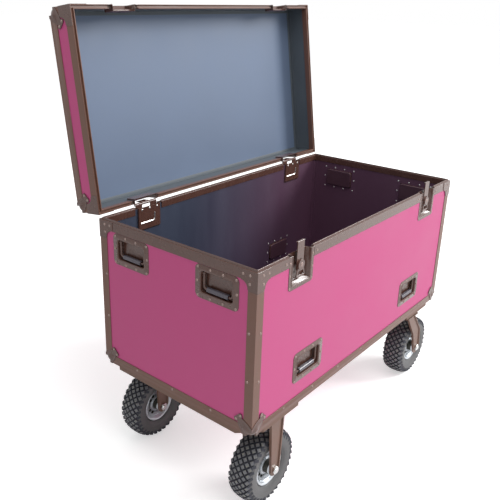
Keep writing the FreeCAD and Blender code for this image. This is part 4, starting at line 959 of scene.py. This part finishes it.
@dataclass
class LatchesAndHinges:
    """Butterfly latches on the front and hinges on the back, in pressed dishes open to the parting line."""

    trunk: Trunk
    latch_out: float = 402.0
    hinge_out: float = 407.0
    latch_half: float = 43.0
    hinge_half: float = 46.0
    bead_out: float = 3.0
    key_down: float = 38.0
    latch_foot: float = 88.0
    keeper_head: float = 42.0
    hinge_foot: float = 79.0
    leaf_head: float = 41.0
    cup_foot: float = 80.0
    cup_floor: float = -18.4
    cup_slope: float = 8.0
    lip_start: float = -40.0
    lip_bend: float = 12.0
    lip_foot: float = -54.0
    lip_radius: float = 10.0
    lip_top: float = -26.0
    lip_depth: float = 16.4

    def finish_nodes(self) -> None:
        """Ease the dishes, hooks, keys and pins; the backs of the latch dishes and keepers are painted dark as
        painted shade.
        """
        opened = self.trunk.opened().to_3x3()
        for node, body, outward in (("latch_dishes", "root", Vector((0, -1, 0))),
                                    ("lid_keepers", "lid", opened @ Vector((0, -1, 0)))):
            eased_copy(node, body, "hardware", BRONZE_HARDWARE, 0.5, BRONZE_PAINTED_SHADE,
                       lambda face, way=outward: face.normal @ way < -0.2)
        for node, body in (("hinge_dishes", "root"), ("lid_hinge_leaves", "lid")):
            eased_copy(node, body, "hardware", BRONZE_HARDWARE, 0.5)
        for side in ("left", "right"):
            eased_copy(side + "_latch_hook", side + "_latch_hook", "hardware", BRONZE_HARDWARE, 0.5)
            eased_copy(side + "_latch_key", side + "_latch_key", "hardware", BRONZE_HARDWARE, 0.6)
        eased_copy("hinge_pins", "root", "zinc", BRIGHT_ZINC, 0.3)

    def press_beads(self) -> None:
        """Press the beads round the mouths of the cups, and round the hollows at their feet."""
        wall_beads = (
            (Wall.FRONT, self.latch_out, self.latch_half, self.latch_foot, self.keeper_head),
            (Wall.BACK, self.hinge_out, self.hinge_half, self.hinge_foot, self.leaf_head))
        low, high = [], []
        for wall, out, half, foot, head in wall_beads:
            for sign in (-1, 1):
                below = MouthBead(half + self.bead_out, foot + self.bead_out)
                above = MouthBead(half + self.bead_out, head + self.bead_out, upwards=True)
                low.append((below.shape(), self.trunk.on_wall(wall, sign * out)))
                high.append((above.shape(), self.trunk.on_wall(wall, sign * out, lid=True)))
        for sign in (-1, 1):
            fillet = foot_fillet(self.latch_half, self.cup_foot, self.cup_floor, self.cup_slope)
            low.append((fillet, self.trunk.on_wall(Wall.FRONT, sign * self.latch_out)))
        for name, works, body in (("body_dish_beads", low, "root"), ("lid_dish_beads", high, "lid")):
            hand_over(new_object(name, join_all(name, works, 40.0), BRONZE_HARDWARE), body, "hardware")

    def fold_lips(self) -> None:
        """Fold the lip that shows on the inside of each hinge, turned up at one end."""
        works = []
        for sign in (-1, 1):
            place = self.trunk.on_wall(Wall.BACK, sign * self.hinge_out) @ Matrix.Rotation(math.pi, 4, "Y")
            path = [(Vector((x, self.lip_foot, 0)), Vector((0, -1, 0)))
                    for x in (self.lip_start, self.lip_bend)]
            for step in range(1, 6):
                turn = math.radians(18 * step)
                across = Vector((math.sin(turn), -math.cos(turn), 0))
                middle = Vector((self.lip_bend, self.lip_foot + self.lip_radius, 0))
                path.append((middle + across * self.lip_radius, across))
            path.append((Vector((self.lip_bend + self.lip_radius, self.lip_top, 0)), Vector((1, 0, 0))))
            works.append((pressed_bar(path, self.lip_depth), place))
        # The lip is given bright bare metal, a painted highlight on the hinge's coated lip.
        lips = new_object("hinge_inner_lips", join_all("hinge_inner_lips", works, 40.0), BRIGHT_RIVET_AND_LIP_HIGHLIGHT)
        hand_over(lips, "root", "hardware")

    def build(self) -> None:
        """Finish the latches, keepers and hinges."""
        self.finish_nodes()
        self.press_beads()
        self.fold_lips()


@dataclass
class Rivets:
    """All the rivets, set out by body and finish."""

    trunk: Trunk
    handles: Handles
    latches: LatchesAndHinges
    radius: float = 4.2
    height: float = 1.6
    tail_radius: float = 3.6
    edge_in: float = 22.0
    edge_heights: tuple[float, ...] = (171.0, 317.0)
    foot_up: float = 21.0
    foot_pitch: float = 150.0
    foot_end: float = 150.0
    inner_face: float = 10.8
    boss_radius: float = 6.5
    boss_out: float = -0.5
    flange_out: float = -0.4
    plate_out: float = 1.5
    brace_grid: tuple[Point, ...] = ((23, -13), (46, -13), (24, -37))
    ball_grid: tuple[Point, ...] = ((41, 55), (55, 41))
    latch_levels: tuple[float, ...] = (-20, -57, -94)
    hinge_levels: tuple[float, ...] = (-20, -54, -86)
    cover_levels: tuple[float, ...] = (14, 40)
    flange_side: float = 54
    rail_side: float = 74
    rail_level: float = -16
    hinge_tails: tuple[float, ...] = (-33, 0, 33)
    hinge_tail_level: float = -8
    hinge_tail_depth: float = 16.6

    def handle_grid(self) -> list[Point]:
        """The rivets of one handle dish about its middle."""
        columns = (-67.5, -22.5, 22.5, 67.5)
        return [(x, 41.0) for x in columns] + [(x, -43.0) for x in columns] + [(-70.0, 0.0), (70.0, 0.0)]

    def inner(self, wall: Wall) -> Matrix:
        """The placement of a wall's inside, seen from there; its out is the depth below the outer face."""
        return self.trunk.on_wall(wall) @ Matrix.Rotation(math.pi, 4, "Y")

    def corner_spots(self, wall: Wall, half: float) -> list[Spot]:
        """The rivets at the four corners of a body wall.

        Args:
            wall: The wall.
            half: Half the length of the wall.

        Returns:
            Their spots.
        """
        flat = self.trunk.on_wall(wall)
        spots = []
        for sign in (-1, 1):
            spots += [spot_at(flat, sign * (half - self.edge_in), height - self.trunk.body_high)
                      for height in self.edge_heights]
            spots += [spot_at(flat, sign * (half - x), y, self.plate_out) for x, y in self.brace_grid]
            spots += [spot_at(flat, sign * (half - x), y - self.trunk.body_high, self.plate_out)
                      for x, y in self.ball_grid]
        return spots

    def foot_spots(self, wall: Wall, half: float) -> list[Spot]:
        """The rivets of a bottom edge.

        Args:
            wall: The wall above the edge.
            half: Half the length of the wall.

        Returns:
            Their spots.
        """
        reach = half * 2 - self.foot_end * 2
        count = round(reach / self.foot_pitch)
        pitch = reach / count
        flat = self.trunk.on_wall(wall)
        return [spot_at(flat, -half + self.foot_end + pitch * i, self.foot_up - self.trunk.body_high)
                for i in range(count + 1)]

    def build(self) -> None:
        """Set out the coated rivets, the bright ones and the tails inside."""
        coated, tails, lid = [], [], []
        grid = self.handle_grid()
        for wall in Wall:
            half = (self.trunk.length if wall in LONG_WALLS else self.trunk.width) / 2
            flat = self.trunk.on_wall(wall)
            for along, up in self.handles.centres(wall):
                coated += [spot_at(flat, along + x, up + y, self.flange_out) for x, y in grid]
                tails += [spot_at(self.inner(wall), -along - x, up + y, self.inner_face) for x, y in grid]
            coated += self.corner_spots(wall, half) + self.foot_spots(wall, half)
            cover = self.trunk.on_wall(wall, lid=True)
            for sign in (-1, 1):
                lid += [spot_at(cover, sign * (half - x), self.trunk.lid_high - y, self.plate_out)
                        for x, y in self.ball_grid]
        for wall, out, levels in ((Wall.FRONT, self.latches.latch_out, self.latch_levels),
                                  (Wall.BACK, self.latches.hinge_out, self.hinge_levels)):
            flat, cover = self.trunk.on_wall(wall), self.trunk.on_wall(wall, lid=True)
            for sign in (-1, 1):
                for side in (-1, 1):
                    column = sign * out + side * self.flange_side
                    coated += [spot_at(flat, column, level, self.flange_out) for level in levels]
                    coated.append(spot_at(flat, sign * out + side * self.rail_side, self.rail_level))
                    lid += [spot_at(cover, column, level, self.flange_out) for level in self.cover_levels]
                if wall is Wall.BACK:
                    tails += [spot_at(self.inner(wall), -sign * out + x, self.hinge_tail_level,
                                      self.hinge_tail_depth) for x in self.hinge_tails]
        self.place("body_rivets", coated, "root", RIVET_COAT_PAINTED_HIGHLIGHT, self.radius)
        self.place("body_rivet_tails", tails, "root", BRIGHT_RIVET_AND_LIP_HIGHLIGHT, self.tail_radius)
        self.place("lid_rivets", lid, "lid", RIVET_COAT_PAINTED_HIGHLIGHT, self.radius)
        front = self.trunk.on_wall(Wall.FRONT)
        for side, sign in (("left", -1), ("right", 1)):
            # The key's boss takes the rivets' finish, lighter than the coat as painted highlight.
            boss = [spot_at(front, sign * self.latches.latch_out, -self.latches.key_down, self.boss_out)]
            self.place(side + "_key_boss", boss, side + "_latch_key", RIVET_COAT_PAINTED_HIGHLIGHT, self.boss_radius)

    def place(self, name: str, spots: list[Spot], body: str, finish: Finish, radius: float) -> None:
        """Set out one lot of rivets and hand it over.

        Args:
            name: Name of the lot.
            spots: Where the rivets stand.
            body: The body that it rides on.
            finish: Their finish.
            radius: Radius of their heads.
        """
        head = Scatter(name + "_tree", Head.DOME, radius, radius, self.height, sides=12)
        hand_over(head.build(name, spots, finish), body, "hardware")


@dataclass
class Wheel:
    """One pneumatic wheel: a carcass with tread blocks, and a silver rim."""

    name: str
    wall_edge: float = 104.0
    block_half: float = 9.3
    block_high: float = 6.8
    count: int = 34
    rows: tuple[tuple[float, float, float, float], ...] = (
        (0, 112.6, 0, 0), (10.7, 112.3, 4, 0.5), (-10.7, 112.3, 4, 0.5), (21.2, 110.9, 12, 0),
        (-21.2, 110.9, 12, 0), (30.6, 107.6, 30, 0.5), (-30.6, 107.6, 30, 0.5))
    rib_rows: tuple[tuple[float, float, float, float], ...] = (
        (-37.0, 102.2, 62, 0), (37.0, 102.2, 62, 0))
    rolled_edges: tuple[tuple[float, float, float], ...] = ((59.4, 29.4, 1.9), (25.5, 19.6, 2.2))
    sleeve: tuple[Point, ...] = ((19.0, 3.5), (20.5, 3.5), (21.2, 16), (20.9, 38), (19.0, 38))
    # A dark disc behind the rim's windows: painted shade of the rim's well.
    painted_shade_disc: tuple[Point, ...] = ((24.0, 10), (50.0, 10), (50.0, 11), (24.0, 11))
    face_steps: int = 96
    face_sheet: float = 1.2
    slot_pairs: int = 4
    slot_spans: tuple[tuple[int, int], ...] = ((5, 10), (12, 17))
    slot_bands: ClassVar[dict[int, int]] = {5: 1, 6: 0, 7: 0, 8: 1}
    face_profile: tuple[Point, ...] = (
        (53.0, 28.0), (51.6, 24.0), (49.5, 21.0), (46.0, 19.2), (42.5, 18.6), (40.6, 18.5), (38.8, 18.4),
        (35.5, 18.3), (32.2, 18.3), (30.4, 18.4), (28.0, 18.6), (24.0, 19.4), (20.5, 21.5))

    def centre(self) -> Vector:
        """The middle of the wheel in the frame."""
        low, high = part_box(self.name + "_tyre")
        return (low + high) / 2

    def carcass_section(self) -> list[Point]:
        """Radius and offset of the right half of the carcass, from the bead to the crown."""
        return [(53.6, 22), (53.6, 25.5), (61.6, 27), (63.2, 29.5), (64.2, 32.5), (66, 34.2), (67.6, 34.6),
                (69.4, 36.6), (76, 38.8), (84, 40.2), (90, 40.6), (93.6, 40.5), (95, 40.95), (97, 40.6),
                (98.4, 39.6), (101, 38.9), (104.5, 37.0), (108, 33.5), (110.8, 28.5), (112.8, 21), (113.9, 12),
                (114.3, 4)]

    def turned(self, section: Sequence[Point], steps: int = 96) -> bmesh.types.BMesh:
        """Turn a closed section about the wheel's axle.

        Args:
            section: Radius and offset of its points.
            steps: Faces round the wheel.

        Returns:
            The turned solid, in the frame.
        """
        middle = self.centre()
        rings = []
        for step in range(steps):
            turn = 2 * math.pi * step / steps
            rings.append([middle + Vector((r * math.cos(turn), -a, r * math.sin(turn))) * MM
                          for r, a in section])
        return lofted(rings, closed=True)

    def tread_spots(self, across: float, radius: float, tilt: float, phase: float) -> list[Spot]:
        """Spots of one row of blocks round the tyre.

        Args:
            across: Offset of the row from the middle of the wheel.
            radius: Radius on which the blocks stand.
            tilt: Lean of the blocks towards their side, in degrees.
            phase: Share of the pitch by which the row is turned.

        Returns:
            The spots.
        """
        middle = self.centre()
        spots = []
        for step in range(self.count):
            turn = 2 * math.pi * (step + phase) / self.count
            outward = Vector((math.cos(turn), 0, math.sin(turn)))
            around = Vector((-math.sin(turn), 0, math.cos(turn)))
            side = Vector((0, math.copysign(1.0, across), 0)) if across else Vector((0, 1, 0))
            facing = outward * math.cos(math.radians(tilt)) + side * math.sin(math.radians(tilt))
            place = middle + (outward * radius + Vector((0, across, 0))) * MM
            spots.append(Spot(place, facing.normalized(), around))
        return spots

    def make_tyre(self, body: str) -> None:
        """Make the carcass, its blocks and its shoulder ribs.

        Args:
            body: The body that it rides on.
        """
        right = self.carcass_section()
        work = self.turned(right + [(r, -a) for r, a in reversed(right)])
        middle = self.centre()
        # The side walls take the lighter wall finish, partly painted sheen.
        for face in work.faces:
            reach = face.calc_center_median() - middle
            face.material_index = 1 if Vector((reach.x, reach.z)).length < self.wall_edge * MM else 0
        mesh = mesh_of(self.name + "_carcass", work, 35)
        tyre = new_object(self.name + "_carcass", mesh, TYRE_RUBBER, TYRE_WALL_DUST_AND_SHEEN)
        hand_over(tyre, body, "tyre_rubber", self.name + "_tyre")
        spots = [spot for row in self.rows for spot in self.tread_spots(*row)]
        blocks = Scatter(self.name + "_tread_tree", Head.PRISM, self.block_half, self.block_half,
                         self.block_high, sides=4, taper=0.78)
        hand_over(blocks.build(self.name + "_tread", spots, TYRE_RUBBER, TREAD_DUST), body, "tyre_rubber")
        ribs = [spot for row in self.rib_rows for spot in self.tread_spots(*row)]
        shoulder = Scatter(self.name + "_rib_tree", Head.BLOCK, 4.0, 7.5, 4.0, turn=28)
        hand_over(shoulder.build(self.name + "_shoulder_ribs", ribs, TYRE_RUBBER), body, "tyre_rubber")

    def rim_face(self, side: int) -> bmesh.types.BMesh:
        """Press the face of the rim on one side, with its pairs of slots.

        Args:
            side: Sign of the side along Y.

        Returns:
            The face with the thickness of its sheet.
        """
        middle = self.centre()
        work = bmesh.new()
        steps = self.face_steps
        rows = []
        for radius, offset in self.face_profile:
            row = []
            for step in range(steps):
                turn = 2 * math.pi * step / steps
                place = Vector((radius * math.cos(turn), side * offset, radius * math.sin(turn)))
                row.append(work.verts.new(middle + place * MM))
            rows.append(row)
        share = steps // self.slot_pairs
        for band in range(len(rows) - 1):
            inset = self.slot_bands.get(band)
            for step in range(steps):
                place = step % share
                open_here = inset is not None and any(first + inset <= place < last - inset
                                                      for first, last in self.slot_spans)
                if not open_here:
                    after = (step + 1) % steps
                    quad = (rows[band][step], rows[band][after], rows[band + 1][after], rows[band + 1][step])
                    work.faces.new(quad if side > 0 else quad[::-1])
        bmesh.ops.solidify(work, geom=work.faces[:], thickness=self.face_sheet * MM)
        bmesh.ops.recalc_face_normals(work, faces=work.faces)
        return work

    def make_rim(self, body: str) -> None:
        """Finish the rim, roll its flanges, press its slotted faces, grease its hub and set a dark disc of
        painted shade behind its windows.

        Args:
            body: The body that it rides on.
        """
        eased_copy(self.name + "_rim", body, "rim_steel", SILVER_LACQUER, 0.6)
        works = []
        for side in (-1, 1):
            for radius, level, size in self.rolled_edges:
                turns = [math.radians(45 * i) for i in range(8)]
                round_edge = [(radius + size * math.cos(turn), side * (level + size * math.sin(turn)))
                              for turn in turns]
                works.append((self.turned(round_edge), Matrix.Identity(4)))
            works.append((self.rim_face(side), Matrix.Identity(4)))
        self.join_parts("_rim_face", works, 50, SILVER_LACQUER, body)
        works = []
        for side in (-1, 1):
            for section in (self.sleeve, self.painted_shade_disc):
                works.append((self.turned([(r, side * a) for r, a in section]), Matrix.Identity(4)))
        self.join_parts("_hub_grease", works, 40, HUB_GRIME_AND_SHADE, body)

    def join_parts(self, ending: str, works: Sequence[tuple[bmesh.types.BMesh, Matrix]], smooth_below: float,
                   finish: Finish, body: str) -> None:
        """Join turned parts of the rim into one piece, finish it and hand it over.

        Args:
            ending: What the piece's name has after the wheel's.
            works: The parts and their places.
            smooth_below: Edges shallower than this many degrees are shaded smooth.
            finish: Finish of the piece.
            body: The body that it rides on.
        """
        name = self.name + ending
        hand_over(new_object(name, join_all(name, works, smooth_below), finish), body, "rim_steel")

    def build(self) -> None:
        """Make the tyre and the rim."""
        body = self.name + "_wheel"
        self.make_tyre(body)
        self.make_rim(body)


@dataclass
class Castors:
    """Two fixed and two swivel castors with pneumatic wheels."""

    def build(self) -> None:
        """Finish the forks and plates and make the wheels."""
        for side in ("front", "back"):
            eased_copy(side + "_left_fixed_fork", "root", "castor_steel", CASTOR_STEEL, 0.8)
            swivel = side + "_right_swivel"
            eased_copy(swivel + "_fork", swivel, "castor_steel", CASTOR_STEEL, 0.8)
            eased_copy(side + "_right_axle_bolt", swivel, "zinc", BRIGHT_ZINC, 0.6)
            for end in ("left", "right"):
                Wheel(side + "_" + end).build()
        eased_copy("left_axle_bolts", "root", "zinc", BRIGHT_ZINC, 0.6)
        eased_copy("swivel_plates", "root", "castor_steel", CASTOR_STEEL, 0.6)


# Stage
@dataclass
class Stage:
    """Floor, light and camera."""

    trunk: Trunk
    azimuth: float = -49.87
    elevation: float = 19.98
    roll: float = 1.16
    lens: float = 46.37
    shift: Point = (0.053, -0.040)
    eye: tuple[float, float, float] = (-1.7761, -1.18153, 1.4622)
    room_light: float = 0.52
    window: tuple[float, float, float] = (5.3, -4.6, 4.5)
    window_size: float = 2.8
    window_power: float = 480.0
    sky: tuple[float, float, float] = (-0.3, -1.5, 4.4)
    sky_size: float = 3.0
    sky_power: float = 100.0
    aim_height: float = 0.7
    floor_half: float = 40.0

    def floor(self) -> None:
        """Lay the paper."""
        work = bmesh.new()
        bmesh.ops.create_grid(work, x_segments=2, y_segments=2, size=self.floor_half)
        paper = new_object("floor", mesh_of("floor", work))
        paper.data.materials.append(palette(StudioFloor()))

    def lamp(self, name: str, place: tuple[float, float, float], size: float, power: float) -> None:
        """Hang a soft, white, square lamp that looks at the trunk.

        Args:
            name: Name of the lamp.
            place: Where it hangs, in metres.
            size: Its side, in metres.
            power: Its power, in watts.
        """
        data = bpy.data.lights.new(name, "AREA")
        data.shape = "SQUARE"
        data.size = size
        data.energy = power
        data.color = linear("#FFFFFF")[:3]
        lamp = bpy.data.objects.new(name, data)
        bpy.context.scene.collection.objects.link(lamp)
        lamp.location = place
        aim = Vector((0, 0, self.aim_height)) - Vector(place)
        lamp.rotation_euler = aim.to_track_quat("-Z", "Y").to_euler()

    def world(self) -> None:
        """Light the room softly; it shows white to the eye, in metal and through glass."""
        world = bpy.data.worlds.new("studio")
        world.use_nodes = True
        bpy.context.scene.world = world
        tree = world.node_tree
        tree.nodes.clear()
        path = wire(tree, "ShaderNodeLightPath").outputs
        seen = path["Is Camera Ray"]
        for ray in ("Is Glossy Ray", "Is Transmission Ray"):
            seen = wire(tree, "ShaderNodeMath", {0: seen, 1: path[ray]}, operation="MAXIMUM").outputs[0]
        strength = wire(tree, "ShaderNodeMapRange", {"Value": seen, "To Min": self.room_light, "To Max": 1.0})
        glow = wire(tree, "ShaderNodeBackground", {
            "Color": (1.0, 1.0, 1.0, 1.0), "Strength": strength.outputs["Result"]})
        wire(tree, "ShaderNodeOutputWorld", {"Surface": glow.outputs["Background"]})

    def camera(self) -> None:
        """Stand the camera where the photograph was taken from."""
        turn, rise, tilt = (math.radians(v) for v in (self.azimuth, self.elevation, self.roll))
        back = Vector((math.sin(turn) * math.cos(rise), -math.cos(turn) * math.cos(rise), math.sin(rise)))
        right = Vector((0, 0, 1)).cross(back).normalized()
        up = back.cross(right)
        level_right = right * math.cos(tilt) + up * math.sin(tilt)
        level_up = up * math.cos(tilt) - right * math.sin(tilt)
        data = bpy.data.cameras.new("camera")
        data.sensor_width = 36.0
        data.lens = self.lens
        data.shift_x, data.shift_y = self.shift
        data.clip_end = 200.0
        camera = bpy.data.objects.new("camera", data)
        bpy.context.scene.collection.objects.link(camera)
        place = Matrix((level_right, level_up, back)).transposed().to_4x4()
        place.translation = self.trunk.centre + Vector(self.eye)
        camera.matrix_world = place
        bpy.context.scene.camera = camera

    def build(self) -> None:
        """Set the stage."""
        self.floor()
        self.world()
        self.camera()
        self.lamp("window_lamp", self.window, self.window_size, self.window_power)
        self.lamp("sky_lamp", self.sky, self.sky_size, self.sky_power)
        bpy.context.scene.view_settings.view_transform = "Standard"


def main() -> None:
    """Build the trunk, sub-assembly by sub-assembly, and set the stage."""
    logging.basicConfig(level=logging.INFO, format="%(message)s")
    trunk = Trunk.from_frame()
    Panels(trunk).build()
    Edging(trunk).build()
    handles = Handles(trunk)
    handles.build()
    latches = LatchesAndHinges(trunk)
    latches.build()
    Rivets(trunk, handles, latches).build()
    Castors().build()
    Stage(trunk).build()


if __name__ == "__main__":
    main()
